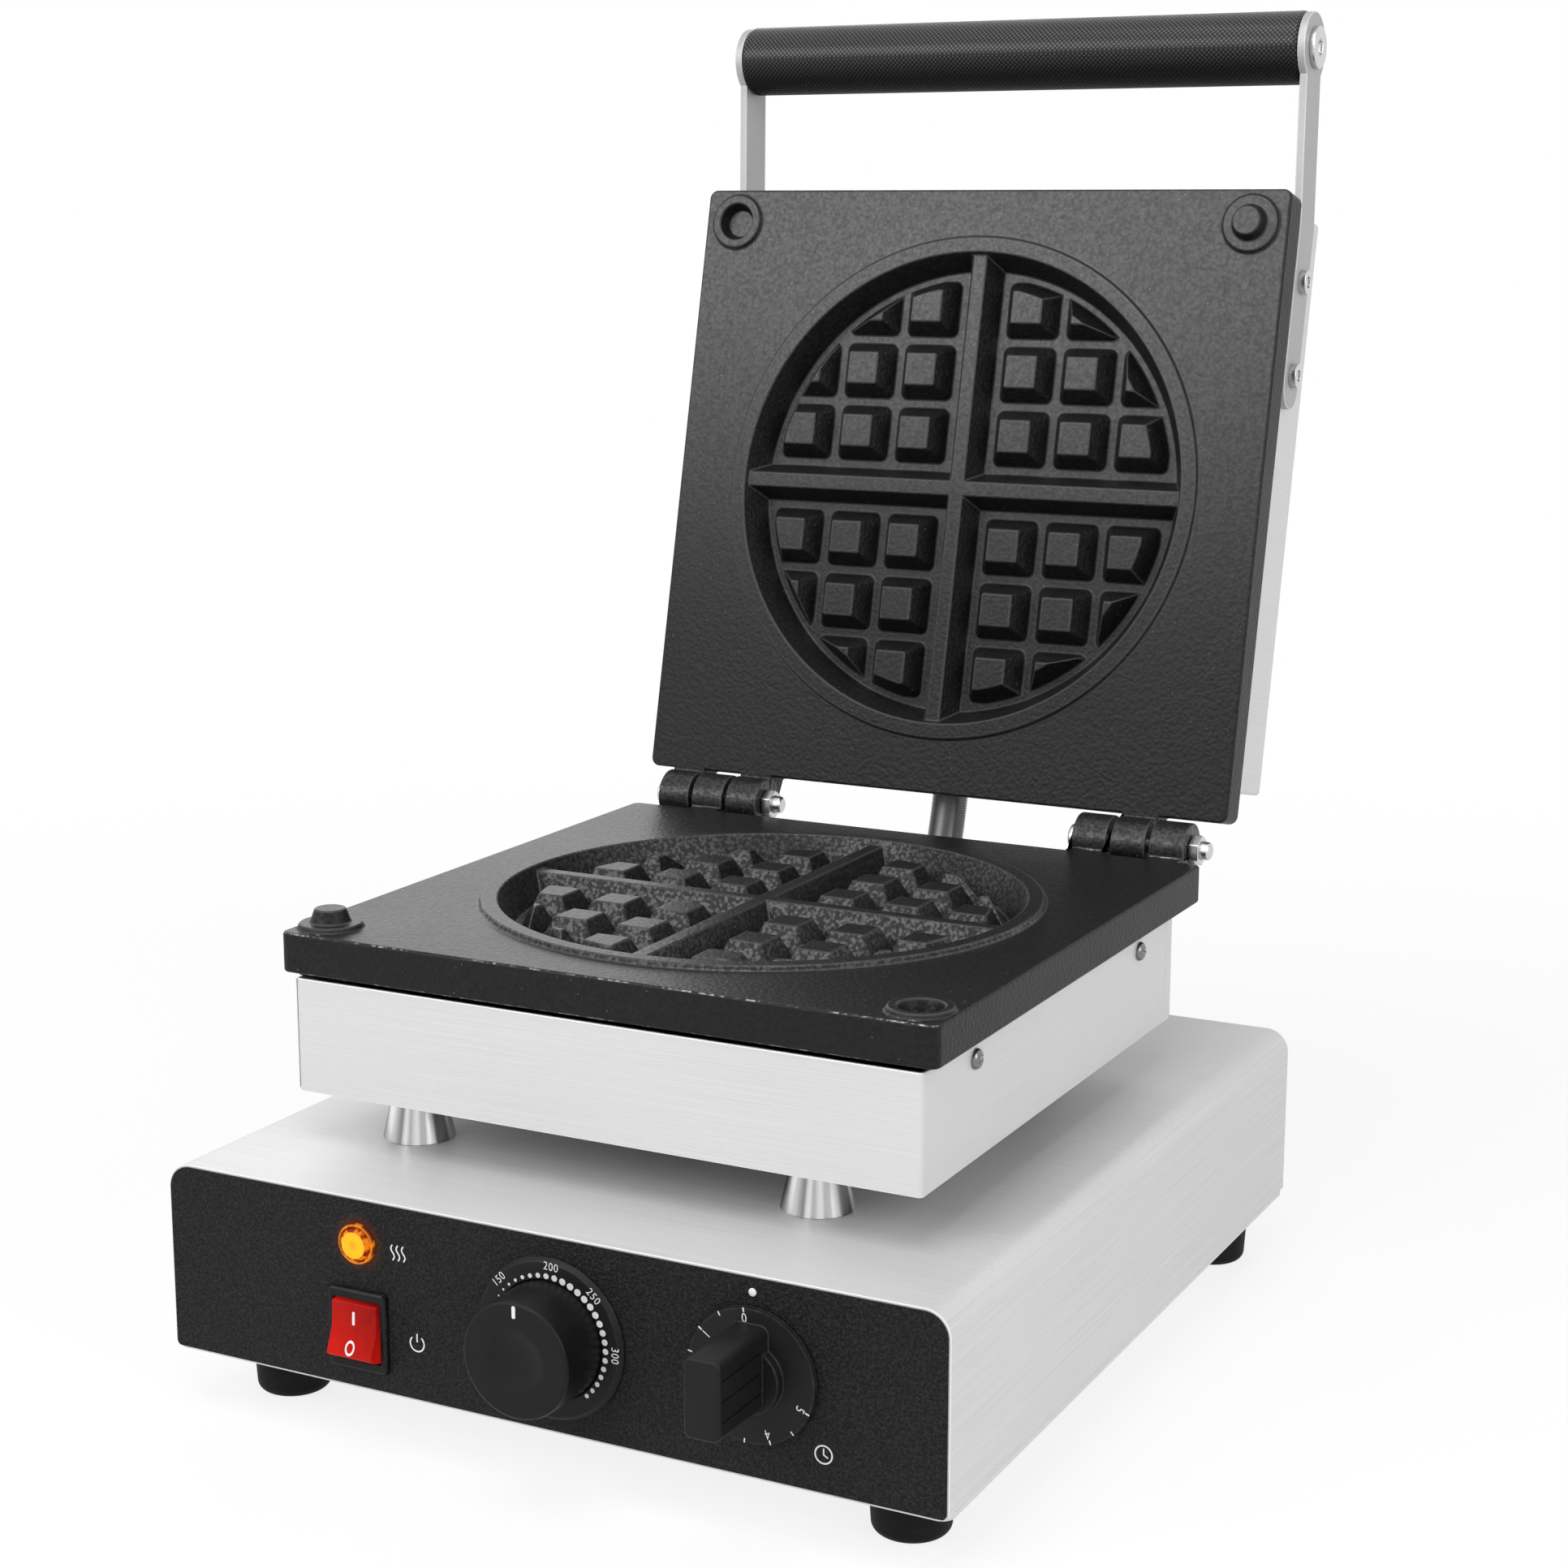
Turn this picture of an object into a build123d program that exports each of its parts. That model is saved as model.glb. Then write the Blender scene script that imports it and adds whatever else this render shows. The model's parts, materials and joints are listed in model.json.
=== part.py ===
"""A table-top waffle maker: a control base, a lower iron on cone spacers and a hinged upper iron.

Millimetres. X runs to the right, Y to the back and Z up. The origin is the middle of the
footprint, on the table. The upper iron stands open, resting on its hinge stop.
"""
import os
from math import cos, pi, radians, sin, tan

from build123d import *

# Base housing
base_width = 332.0
base_depth = 370.0
base_height = 76.0
sheet = 1.5
cover_bend = 10.0
flange_width = 14.0
cover_screw_inset = 74.0
strip_margin = 21.0
tray_thickness = 2.0
tray_corner = 5.0
panel_gap = 0.2
overlay_thickness = 0.6
overlay_margin = 0.9
overlay_corner = 2.0
vent_length = 40.0
vent_width = 4.0
vent_pitch = 12.0
vent_rows = 6
vent_columns = 3
rear_rows = 3
rear_columns = 3

# Feet
foot_height = 24.0
foot_radius = 16.0
foot_taper = 1.5
foot_rounding = 4.0
front_foot_inset_x = 30.0
front_foot_inset_y = 35.0
rear_foot_inset_x = 23.0
rear_foot_inset_y = 31.0
foot_recess = 11.0

# Fasteners
screw_radius = 2.0
screw_head_radius = 4.0
screw_head_height = 2.6
screw_length = 7.0
bolt_radius = 3.0
bolt_head_radius = 5.5
bolt_head_height = 3.3
nut_radius = 5.8
nut_height = 5.0
thread_gap = 0.05
hole_gap = 0.3
socket_radius = 2.0
socket_depth = 1.8

# Cone spacers under the lower iron
spacer_height = 21.0
spacer_base_radius = 14.4
spacer_top_radius = 9.6
spacer_span_x = 178.0
spacer_shift_x = -9.0
spacer_span_y = 198.0

# Cast plates
plate_width = 282.0
upper_plate_width = 289.0
plate_depth = 275.0
plate_thickness = 16.2
plate_corner = 4.0
plate_edge = 1.2
plate_front_overhang = 1.5
pad_height = 2.0
pad_inset = 5.0
pocket_radius = 108.5
pocket_depth = 12.2
pocket_draft = 24.0
ring_width = 7.6
ring_height = 2.2
ring_gap = 0.3
rib_width = 6.5
rib_height = 11.8
rib_draft = 23.6
peg_base = 25.8
peg_corner = 3.2
peg_top = 14.6
peg_top_corner = 0.8
peg_height = 10.8
peg_first = 25.0
peg_pitch = 29.5
peg_rows = 3
peg_border = 3.0
boss_x = 127.5
boss_from_front = 15.5
boss_radius = 13.2
locator_radius = 8.2
locator_height = 5.6
locator_draft = 20.0
locator_gap = 0.6
lug_size = 12.0
lug_height = 14.0
lug_screw_drop = 7.0
lug_front = 47.0
lug_rear = 59.0
post_radius = 6.0
post_inset = 30.0

# Hinge
hinge_setback = 15.5
upper_hinge_setback = 12.5
hinge_inset = 38.0
lid_open = 103.0
knuckle_radius = 11.5
knuckle_width = 16.0
knuckle_gap = 2.0
knuckle_first = 79.0
knuckle_root = 11.0
hinge_pin_radius = 4.0
hinge_fit = 0.05
hinge_head_radius = 6.0
hinge_head_height = 4.0
hinge_tip = 4.0
hinge_nut_radius = 6.8
hinge_nut_height = 4.5
hinge_washer_gap = 0.3
hinge_chamfer = 1.0

# Casings round the heaters
casing_height = 46.0
casing_corner = 2.0
lower_side_overhang = 6.0
lower_rear_overhang = 18.5
upper_side_overhang = 6.5
upper_rear_overhang = 11.5

# Heaters and insulation
heater_radius = 72.0
heater_tube = 4.0
heater_sweep = 320.0
heater_leg = 14.0
heater_leg_radius = 3.2
clamp_radius = 92.0
clamp_thickness = 3.0
clamp_hole = 30.0
clamp_screw_radius = 52.0
clamp_screws = 3
clamp_screw_depth = 3.5
insulation_width = 140.0
insulation_depth = 170.0
insulation_thickness = 16.0
wire_hole_radius = 12.0

# Arms and handle
arm_width = 20.0
arm_thickness = 3.5
arm_overlap = 79.0
arm_bend_inset = 7.0
arm_drop = 39.0
arm_screw_inset = 74.0
arm_screw_pitch = 42.0
handle_out = 69.0
handle_drop = 23.0
eye_radius = 15.5
grip_radius = 16.0
grip_gap = 0.3
grip_round = 1.5
rod_radius = 6.0
end_bolt_radius = 4.0
end_bolt_length = 18.0
end_bolt_head_radius = 9.2
end_bolt_head_height = 2.6

# Controls on the front panel
control_rise = 37.0
thermostat_x = 8.0
dial_radius = 31.2
dial_bore = 23.0
dial_thickness = 2.6
dial_bevel = 1.6
knob_radius = 22.6
knob_face_radius = 22.1
knob_reach = 24.5
knob_lift = 0.5
knob_round = 1.2
dimple_radius = 10.0
dimple_depth = 1.0
shaft_radius = 3.0
shaft_fit = 0.05
shaft_inset = 10.0
shaft_depth = 14.0
shaft_end_gap = 0.5
shaft_hole = 5.0
thermostat_body_width = 52.0
thermostat_body_height = 44.0
thermostat_body_depth = 30.0
bulb_radius = 3.0
bulb_length = 90.0
timer_inset = 75.0
timer_rise = 39.6
timer_disc_radius = 25.6
timer_disc_thickness = 2.0
timer_disc_bevel = 0.6
timer_hub_radius = 13.0
timer_hub_height = 4.0
grip_bar_width = 14.2
grip_bar_height = 29.4
grip_bar_rise = 4.7
grip_bar_reach = 37.5
grip_bar_corner = 3.0
grip_bar_round = 1.2
timer_body_width = 56.0
timer_body_height = 50.0
timer_body_depth = 38.0

# Power switch
rocker_inset = 89.0
switch_rise = 24.2
bezel_width = 26.5
bezel_height = 32.0
bezel_lift = 2.2
bezel_round = 1.5
bezel_chamfer = 0.8
switch_width = 23.0
switch_height = 28.8
switch_depth = 24.0
rocker_width = 20.4
rocker_radius = 11.6
rocker_rise = 6.2
rocker_valley = 4.2
rocker_back = 4.0
rocker_tilt = 13.0
rocker_gap = 0.5
pivot_radius = 1.5
pivot_behind = 2.2
opening_depth = 10.5
pivot_fit = 0.05

# Pilot lamp
lamp_inset = 89.4
lamp_rise = 58.4
lamp_radius = 8.0
lamp_lift = 2.0
lens_radius = 6.3
lens_height = 1.4
lens_round = 1.0
lens_seat = 1.0
lamp_barrel_radius = 5.5
lamp_barrel_length = 24.0
lamp_nut_radius = 8.5
lamp_nut_height = 3.5

# Wiring inside the base and the mains cable gland
terminal_width = 60.0
terminal_depth = 24.0
terminal_height = 18.0
terminal_ways = 5
terminal_hole_radius = 2.2
terminal_y = 60.0
gland_inset = 56.0
gland_rise = 36.0
gland_radius = 12.0
gland_reach = 14.0
gland_bore = 4.5
gland_thread = 8.0
gland_tail = 10.0
gland_nut_radius = 11.5
gland_nut_height = 5.0

# Flexible conduit between the base and the upper iron
hose_radius = 8.4
hose_bore = 6.6
hose_rib = 0.7
hose_ribs = 56
hose_behind_hinge = 11.0
hose_drop = 33.0
hose_gland_radius = 12.0
hose_gland_height = 9.0
hose_nut_radius = 11.8
hose_nut_height = 5.0
hose_lead = 29.0
hose_turn = 1.8

# Derived heights and places
tray_top = foot_height + tray_thickness
base_top = foot_height + base_height
cover_inside = base_top - sheet
front_y = -base_depth / 2
half_width = base_width / 2
front_foot_x = half_width - front_foot_inset_x
front_foot_y = base_depth / 2 - front_foot_inset_y
rear_foot_x = half_width - rear_foot_inset_x
rear_foot_y = base_depth / 2 - rear_foot_inset_y
control_z = foot_height + control_rise
timer_z = foot_height + timer_rise
rocker_z = foot_height + switch_rise
lamp_z = foot_height + lamp_rise
gland_z = foot_height + gland_rise
timer_x = half_width - timer_inset
rocker_x = rocker_inset - half_width
lamp_x = lamp_inset - half_width
gland_x = half_width - gland_inset
hinge_y = base_depth / 2 - hinge_inset
hose_y = hinge_y + hose_behind_hinge
lower_casing_width = plate_width - 2 * lower_side_overhang
lower_casing_depth = plate_depth - plate_front_overhang - lower_rear_overhang
upper_casing_width = upper_plate_width - 2 * upper_side_overhang
upper_casing_depth = plate_depth - plate_front_overhang - upper_rear_overhang
casing_floor = base_top + spacer_height
casing_rim = casing_floor + casing_height
plate_face = casing_rim + pad_height + plate_thickness
face_drop = ring_height + ring_gap / 2
hinge_z = plate_face + face_drop
overlay_front = front_y - overlay_thickness
rim_drop = face_drop + plate_thickness + pad_height
plate_rear = -hinge_setback
plate_front = plate_rear - plate_depth
plate_middle = (plate_front + plate_rear) / 2
casing_front = plate_front + plate_front_overhang
lid_angle = radians(lid_open)
arm_low = -casing_front - arm_overlap
arm_bend = -casing_front - arm_bend_inset
arm_screw_first = -casing_front - arm_screw_inset
handle_reach = -casing_front + handle_out

# Frames: both irons are drawn from the hinge axis, Y to the hinge and Z out of the cooking face
lid_forward = Vector(0, -cos(lid_angle), sin(lid_angle))
lid_face_out = Vector(0, -sin(lid_angle), -cos(lid_angle))
hinge_centre = Vector(0, hinge_y, hinge_z)
lower_frame = Plane(hinge_centre, x_dir=(1, 0, 0), z_dir=(0, 0, 1))
upper_frame = Plane(hinge_centre, x_dir=(-1, 0, 0), z_dir=lid_face_out)
low_align = (Align.CENTER, Align.CENTER, Align.MIN)
high_align = (Align.CENTER, Align.CENTER, Align.MAX)


def lid_point(x, forward, out):
    """A point of the upper iron: sideways, away from the hinge and out of its cooking face."""
    return hinge_centre + Vector(x, 0, 0) + lid_forward * forward + lid_face_out * out


def lid_side(x):
    """A plane across the upper iron at x, whose axes run away from the hinge and out of the face."""
    return Plane(hinge_centre + Vector(x, 0, 0), x_dir=lid_forward, z_dir=(1, 0, 0))


def front_plane(x, z, y):
    """A plane facing the user at depth y, with X to the right and Y up."""
    return Plane((x, y, z), x_dir=(1, 0, 0), z_dir=(0, -1, 0))


def save(builder, label):
    """Label one finished piece and write its STEP file."""
    builder.part.label = label
    export_step(builder.part, f"parts/{label}.step")


def corners(span_x, span_y, shift_x=0.0, shift_y=0.0):
    """The four corners of a rectangle, as places."""
    return [
        (shift_x + side * span_x / 2, shift_y + end * span_y / 2)
        for side in (-1, 1)
        for end in (-1, 1)
    ]


def pan_screws(planes, length, radius, head_radius, head_height):
    """Pan-head screws with a hexagon socket: each plane is a seat, its Z points out of the head."""
    with BuildPart() as screws:
        for plane in planes:
            with BuildSketch(plane):
                Circle(head_radius)
            extrude(amount=head_height)
            with BuildSketch(plane):
                Circle(radius)
            extrude(amount=-length)
            with BuildSketch(plane.offset(head_height)):
                RegularPolygon(socket_radius * radius / screw_radius, 6)
            extrude(amount=-socket_depth, mode=Mode.SUBTRACT)
    return screws


def hex_nuts(planes, bore, radius, height):
    """Hexagon nuts: each plane is the face that a nut bears on, its Z points into the nut."""
    with BuildPart() as nuts:
        for plane in planes:
            with BuildSketch(plane):
                RegularPolygon(radius, 6)
                Circle(bore + thread_gap, mode=Mode.SUBTRACT)
            extrude(amount=height)
    return nuts


os.makedirs("parts", exist_ok=True)

# Places of the repeated fasteners
foot_places = [
    (-front_foot_x, -front_foot_y),
    (-rear_foot_x, rear_foot_y),
    (front_foot_x, -front_foot_y),
    (rear_foot_x, rear_foot_y),
]
spacer_y = hinge_y + casing_front + lower_casing_depth / 2
spacer_places = corners(spacer_span_x, spacer_span_y, spacer_shift_x, spacer_y)
cover_screw_x = half_width - sheet - flange_width / 2
cover_screw_places = corners(2 * cover_screw_x, base_depth - 2 * cover_screw_inset)
panel_screw_y = base_depth / 2 - sheet - flange_width / 2
panel_screw_x = half_width / 2
panel_screw_places = corners(2 * panel_screw_x, 2 * panel_screw_y)
tray_screw_places = cover_screw_places + panel_screw_places

# Bottom tray
with BuildPart() as base_tray:
    with BuildSketch(Plane.XY.offset(foot_height)):
        RectangleRounded(base_width, base_depth, tray_corner)
        with Locations(*foot_places):
            Circle(screw_radius + hole_gap, mode=Mode.SUBTRACT)
        with Locations(*tray_screw_places):
            Circle(screw_radius + hole_gap, mode=Mode.SUBTRACT)
        with GridLocations(vent_length + vent_pitch, vent_pitch, vent_columns, vent_rows):
            SlotOverall(vent_length, vent_width, mode=Mode.SUBTRACT)
    extrude(amount=tray_thickness)
save(base_tray, "base_tray")

# Rubber feet, each with a recess for its screw
foot_names = ("foot_front_left", "foot_rear_left", "foot_front_right", "foot_rear_right")
for name, (x, y) in zip(foot_names, foot_places):
    with BuildPart(Plane((x, y, 0))) as foot:
        Cone(foot_radius - foot_taper, foot_radius, foot_height, align=low_align)
        fillet(foot.edges().sort_by(Axis.Z)[0], foot_rounding)
        Cylinder(screw_radius + hole_gap, foot_height, align=low_align, mode=Mode.SUBTRACT)
        Cylinder(screw_head_radius + 2 * hole_gap, foot_recess, align=low_align, mode=Mode.SUBTRACT)
    save(foot, name)
foot_seats = [Plane((x, y, foot_recess), z_dir=(0, 0, -1)) for x, y in foot_places]
foot_screw_length = foot_height - foot_recess + tray_thickness + nut_height
save(
    pan_screws(foot_seats, foot_screw_length, screw_radius, screw_head_radius, screw_head_height),
    "foot_screws",
)
foot_nut_seats = [Plane((x, y, tray_top)) for x, y in foot_places]
foot_nuts = hex_nuts(foot_nut_seats, screw_radius, screw_head_radius, nut_height)

# Folded cover: one sheet over the top and both sides, with flanges that stand on the tray
hose_hole = hose_gland_radius - 2 * sheet
flange_end = sheet + flange_width + hole_gap


def cover_profile(inset, y=front_y):
    """The outline of the cover at depth y, drawn in by inset at the top and the sides."""
    with BuildSketch(front_plane(0, 0, y)) as profile:
        with Locations((0, tray_top)):
            Rectangle(
                base_width - 2 * inset,
                base_top - inset - tray_top,
                align=(Align.CENTER, Align.MIN),
            )
        fillet(profile.vertices().group_by(Axis.Y)[-1], cover_bend - inset)
    return profile.sketch


with BuildPart() as base_cover:
    extrude(cover_profile(0), amount=-base_depth)
    extrude(cover_profile(sheet), amount=-base_depth, mode=Mode.SUBTRACT)
    with Locations((cover_screw_x, 0, tray_top), (-cover_screw_x, 0, tray_top)):
        Box(flange_width, base_depth - 2 * flange_end, sheet, align=low_align)
    with BuildSketch(Plane.XY.offset(tray_top)):
        with Locations(*cover_screw_places):
            Circle(screw_radius + thread_gap)
    extrude(amount=sheet, mode=Mode.SUBTRACT)
    with BuildSketch(Plane.XY.offset(base_top)):
        with Locations(*spacer_places):
            Circle(bolt_radius + hole_gap)
        with Locations((0, hose_y)):
            Circle(hose_hole)
        with Locations((0, spacer_y)):
            Circle(wire_hole_radius)
    extrude(amount=-2 * sheet, mode=Mode.SUBTRACT)
save(base_cover, "base_cover")


def control_cutouts():
    """The holes for the controls, seen from the front."""
    with BuildSketch(front_plane(0, 0, front_y)) as cutouts:
        with Locations((lamp_x, lamp_z)):
            Circle(lamp_barrel_radius + hole_gap)
        with Locations((rocker_x, rocker_z)):
            Rectangle(switch_width + 2 * hole_gap, switch_height + 2 * hole_gap)
        with Locations((thermostat_x, control_z), (timer_x, timer_z)):
            Circle(shaft_hole)
    return cutouts.sketch


def foot_strip(y):
    """The folded foot of an end panel, standing on the tray, with its two screw holes."""
    with BuildSketch(Plane.XY.offset(tray_top)) as strip:
        with Locations((0, y)):
            Rectangle(2 * (panel_screw_x + strip_margin), flange_width)
        with Locations((panel_screw_x, y), (-panel_screw_x, y)):
            Circle(screw_radius + thread_gap, mode=Mode.SUBTRACT)
    return strip.sketch


# Front panel and its textured overlay
with BuildPart() as front_panel:
    extrude(cover_profile(sheet + panel_gap), amount=-sheet)
    extrude(foot_strip(-panel_screw_y), amount=sheet)
    extrude(control_cutouts(), amount=-sheet, mode=Mode.SUBTRACT)
save(front_panel, "front_panel")

overlay_width = base_width - 2 * overlay_margin
overlay_low = foot_height + overlay_margin
overlay_high = base_top - overlay_margin
with BuildPart() as control_overlay:
    with BuildSketch(front_plane(0, (overlay_low + overlay_high) / 2, front_y)) as overlay_outline:
        Rectangle(overlay_width, overlay_high - overlay_low)
        overlay_rows = overlay_outline.vertices().group_by(Axis.Y)
        fillet(overlay_rows[-1], cover_bend - overlay_margin)
        fillet(overlay_outline.vertices().group_by(Axis.Y)[0], overlay_corner)
    extrude(amount=overlay_thickness)
    extrude(control_cutouts(), amount=overlay_thickness, mode=Mode.SUBTRACT)
save(control_overlay, "control_overlay")

# Rear panel with its cable gland hole and vents
rear_plane = Plane((0, base_depth / 2, 0), x_dir=(-1, 0, 0), z_dir=(0, 1, 0))
with BuildPart() as rear_panel:
    extrude(cover_profile(sheet + panel_gap, base_depth / 2), amount=sheet)
    extrude(foot_strip(panel_screw_y), amount=sheet)
    with BuildSketch(rear_plane):
        with Locations((-gland_x, gland_z)):
            Circle(gland_thread + hole_gap)
        with Locations((gland_x / 2, gland_z)):
            with GridLocations(vent_length + vent_pitch, vent_pitch, rear_columns, rear_rows):
                SlotOverall(vent_length, vent_width)
    extrude(amount=-sheet, mode=Mode.SUBTRACT)
save(rear_panel, "rear_panel")

tray_seats = [Plane((x, y, foot_height), z_dir=(0, 0, -1)) for x, y in tray_screw_places]
save(
    pan_screws(tray_seats, screw_length, screw_radius, screw_head_radius, screw_head_height),
    "tray_screws",
)

# Cone spacers, with a bolt through each
spacer_names = (
    "spacer_front_left",
    "spacer_rear_left",
    "spacer_front_right",
    "spacer_rear_right",
)
for name, (x, y) in zip(spacer_names, spacer_places):
    with BuildPart(Plane((x, y, base_top))) as spacer:
        Cone(spacer_base_radius, spacer_top_radius, spacer_height, align=low_align)
        Cylinder(bolt_radius + hole_gap, spacer_height, align=low_align, mode=Mode.SUBTRACT)
    save(spacer, name)
spacer_seats = [Plane((x, y, casing_floor + sheet)) for x, y in spacer_places]
spacer_bolt_length = sheet + spacer_height + sheet + nut_height
save(
    pan_screws(spacer_seats, spacer_bolt_length, bolt_radius, bolt_head_radius, bolt_head_height),
    "spacer_bolts",
)
spacer_nut_seats = [Plane((x, y, cover_inside), z_dir=(0, 0, -1)) for x, y in spacer_places]
spacer_nuts = hex_nuts(spacer_nut_seats, bolt_radius, nut_radius, nut_height)
with BuildPart() as housing_nuts:
    add(foot_nuts.part)
    add(spacer_nuts.part)
save(housing_nuts, "housing_nuts")


with BuildPart() as peg:
    with BuildSketch():
        RectangleRounded(peg_base, peg_base, peg_corner)
    with BuildSketch(Plane.XY.offset(peg_height)):
        RectangleRounded(peg_top, peg_top, peg_top_corner)
    loft(ruled=True)


def cooking_plate(frame, knuckles, width, rear, casing_width, fixings):
    """A cast iron: pocket, grid, ring, locating peg and hole, hinge knuckles and fixing lugs.

    The frame is on the hinge axis and rear is the edge beside it. knuckles holds the first X of
    each knuckle, fixings is "lugs" for side screws or "posts" for screws from the back of the casing.
    """
    face = frame.offset(-face_drop)
    floor = frame.offset(-face_drop - pocket_depth)
    under = frame.offset(-rim_drop)
    floor_radius = pocket_radius - (pocket_depth + ring_height) * tan(radians(pocket_draft))
    centre = (0, plate_middle)
    boss_y = plate_front + boss_from_front

    peg_places = [
        (across * (peg_first + column * peg_pitch), along * (peg_first + row * peg_pitch))
        for across in (-1, 1)
        for along in (-1, 1)
        for column in range(peg_rows)
        for row in range(peg_rows)
    ]
    with BuildPart() as pegs:
        with Locations(floor):
            with Locations(centre):
                with Locations(*peg_places):
                    add(peg.part)
                clip_low = floor_radius - peg_border
                clip_high = clip_low - (peg_base - peg_top) / 2
                Cone(clip_low, clip_high, peg_height, align=low_align, mode=Mode.INTERSECT)

    rib_foot = rib_width / 2 + rib_height * tan(radians(rib_draft))
    with BuildPart() as casting:
        with BuildSketch(face):
            with Locations((0, (plate_front + rear) / 2)):
                RectangleRounded(width, rear - plate_front, plate_corner)
        extrude(amount=-plate_thickness)
        plate_faces = casting.faces().sort_by(Axis(frame.origin, frame.z_dir))
        fillet(plate_faces[-1].edges(), plate_edge)
        fillet(casting.faces().sort_by(Axis(frame.origin, frame.z_dir))[0].edges(), plate_edge)
        with BuildSketch(face.offset(-plate_thickness)):
            with Locations(centre):
                Rectangle(plate_width - 2 * pad_inset, plate_depth - 2 * pad_inset)
        extrude(amount=-pad_height)
        with BuildSketch(face):
            with Locations(centre):
                Circle(pocket_radius + ring_width)
        extrude(amount=ring_height, taper=pocket_draft)
        with Locations(floor):
            with Locations(centre):
                Cone(
                    floor_radius,
                    pocket_radius,
                    pocket_depth + ring_height,
                    align=low_align,
                    mode=Mode.SUBTRACT,
                )
        for turned in (0, 90):
            length_plane = Plane(
                floor.from_local_coords(Vector(centre[0], centre[1], 0)),
                x_dir=frame.x_dir if turned else frame.y_dir,
                z_dir=-frame.y_dir if turned else frame.x_dir,
            )
            with BuildSketch(length_plane):
                Polygon(
                    (-rib_foot, 0),
                    (rib_foot, 0),
                    (rib_width / 2, rib_height),
                    (-rib_width / 2, rib_height),
                    align=None,
                )
            extrude(amount=pocket_radius, both=True)
        add(pegs.part)
        with BuildSketch(face):
            with Locations((boss_x, boss_y), (-boss_x, boss_y)):
                Circle(boss_radius)
        extrude(amount=ring_height, taper=pocket_draft)
        boss_top = face.offset(ring_height)
        shrink = tan(radians(locator_draft))
        with Locations(boss_top):
            with Locations((-boss_x, boss_y)):
                Cone(
                    locator_radius,
                    locator_radius - locator_height * shrink,
                    locator_height,
                    align=low_align,
                )
            hole_depth = locator_height + locator_gap
            with Locations((boss_x, boss_y)):
                Cone(
                    locator_radius + locator_gap - hole_depth * shrink,
                    locator_radius + locator_gap,
                    hole_depth,
                    align=high_align,
                    mode=Mode.SUBTRACT,
                )
        for first in knuckles:
            knuckle_plane = Plane(
                frame.from_local_coords(Vector(first, 0, 0)), x_dir=frame.y_dir, z_dir=frame.x_dir
            )
            with BuildSketch(knuckle_plane):
                Polygon(
                    (plate_rear - pad_inset, -face_drop),
                    (-knuckle_root, -face_drop),
                    (0, -knuckle_radius),
                    (plate_rear - pad_inset, -face_drop - plate_thickness),
                    align=None,
                )
                Circle(knuckle_radius)
            extrude(amount=knuckle_width)
            with BuildSketch(knuckle_plane):
                Circle(hinge_pin_radius + hinge_fit)
            extrude(amount=knuckle_width, mode=Mode.SUBTRACT)
        with Locations(under):
            with Locations(centre):
                with PolarLocations(clamp_screw_radius, clamp_screws):
                    Cylinder(
                        screw_radius + thread_gap,
                        clamp_screw_depth + hole_gap,
                        align=low_align,
                        mode=Mode.SUBTRACT,
                    )
        inner_wall = casing_width / 2 - sheet
        if fixings == "lugs":
            lug_rows = (plate_front + lug_front, plate_rear - lug_rear)
            with Locations(under):
                for side in (-1, 1):
                    for y in lug_rows:
                        with Locations((side * (inner_wall - lug_size / 2), y)):
                            Box(lug_size, lug_size, lug_height, align=high_align)
                        with Locations((side * inner_wall, y, -lug_screw_drop)):
                            Cylinder(
                                screw_radius + thread_gap,
                                2 * screw_length,
                                rotation=(0, 90, 0),
                                mode=Mode.SUBTRACT,
                            )
        else:
            post_span_y = upper_casing_depth - 2 * post_inset
            post_middle = casing_front + upper_casing_depth / 2
            with Locations(under):
                for x, y in corners(casing_width - 2 * post_inset, post_span_y, 0, post_middle):
                    with Locations((x, y)):
                        Cylinder(post_radius, casing_height - sheet, align=high_align)
                    with Locations((x, y, sheet - casing_height)):
                        Cylinder(
                            screw_radius + thread_gap,
                            screw_length,
                            align=low_align,
                            mode=Mode.SUBTRACT,
                        )
    return casting


# The two cooking plates are alike, apart from their outer edges and their casing fixings
step = knuckle_width + knuckle_gap
single_knuckle = (-knuckle_first - step - knuckle_width,)
double_knuckle = (knuckle_first, knuckle_first + 2 * step)
plate_knuckles = single_knuckle + double_knuckle
lower_plate = cooking_plate(
    lower_frame, plate_knuckles, plate_width, plate_rear, lower_casing_width, "lugs"
)
save(lower_plate, "lower_plate")
upper_rear = -upper_hinge_setback
upper_plate = cooking_plate(
    upper_frame, plate_knuckles, upper_plate_width, upper_rear, upper_casing_width, "posts"
)
save(upper_plate, "upper_plate")


def casing_tray(frame, width, depth):
    """A folded sheet tray that hangs from the underside of a cooking plate."""
    floor = frame.offset(-rim_drop - casing_height)
    with BuildPart() as tray:
        with Locations(floor):
            with Locations((0, casing_front + depth / 2)):
                Box(width, depth, casing_height, align=low_align)
        fillet(tray.edges().filter_by(Axis(frame.origin, frame.z_dir)), casing_corner)
        with Locations(floor.offset(sheet)):
            with Locations((0, casing_front + depth / 2)):
                Box(
                    width - 2 * sheet,
                    depth - 2 * sheet,
                    casing_height,
                    align=low_align,
                    mode=Mode.SUBTRACT,
                )
    return tray


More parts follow.
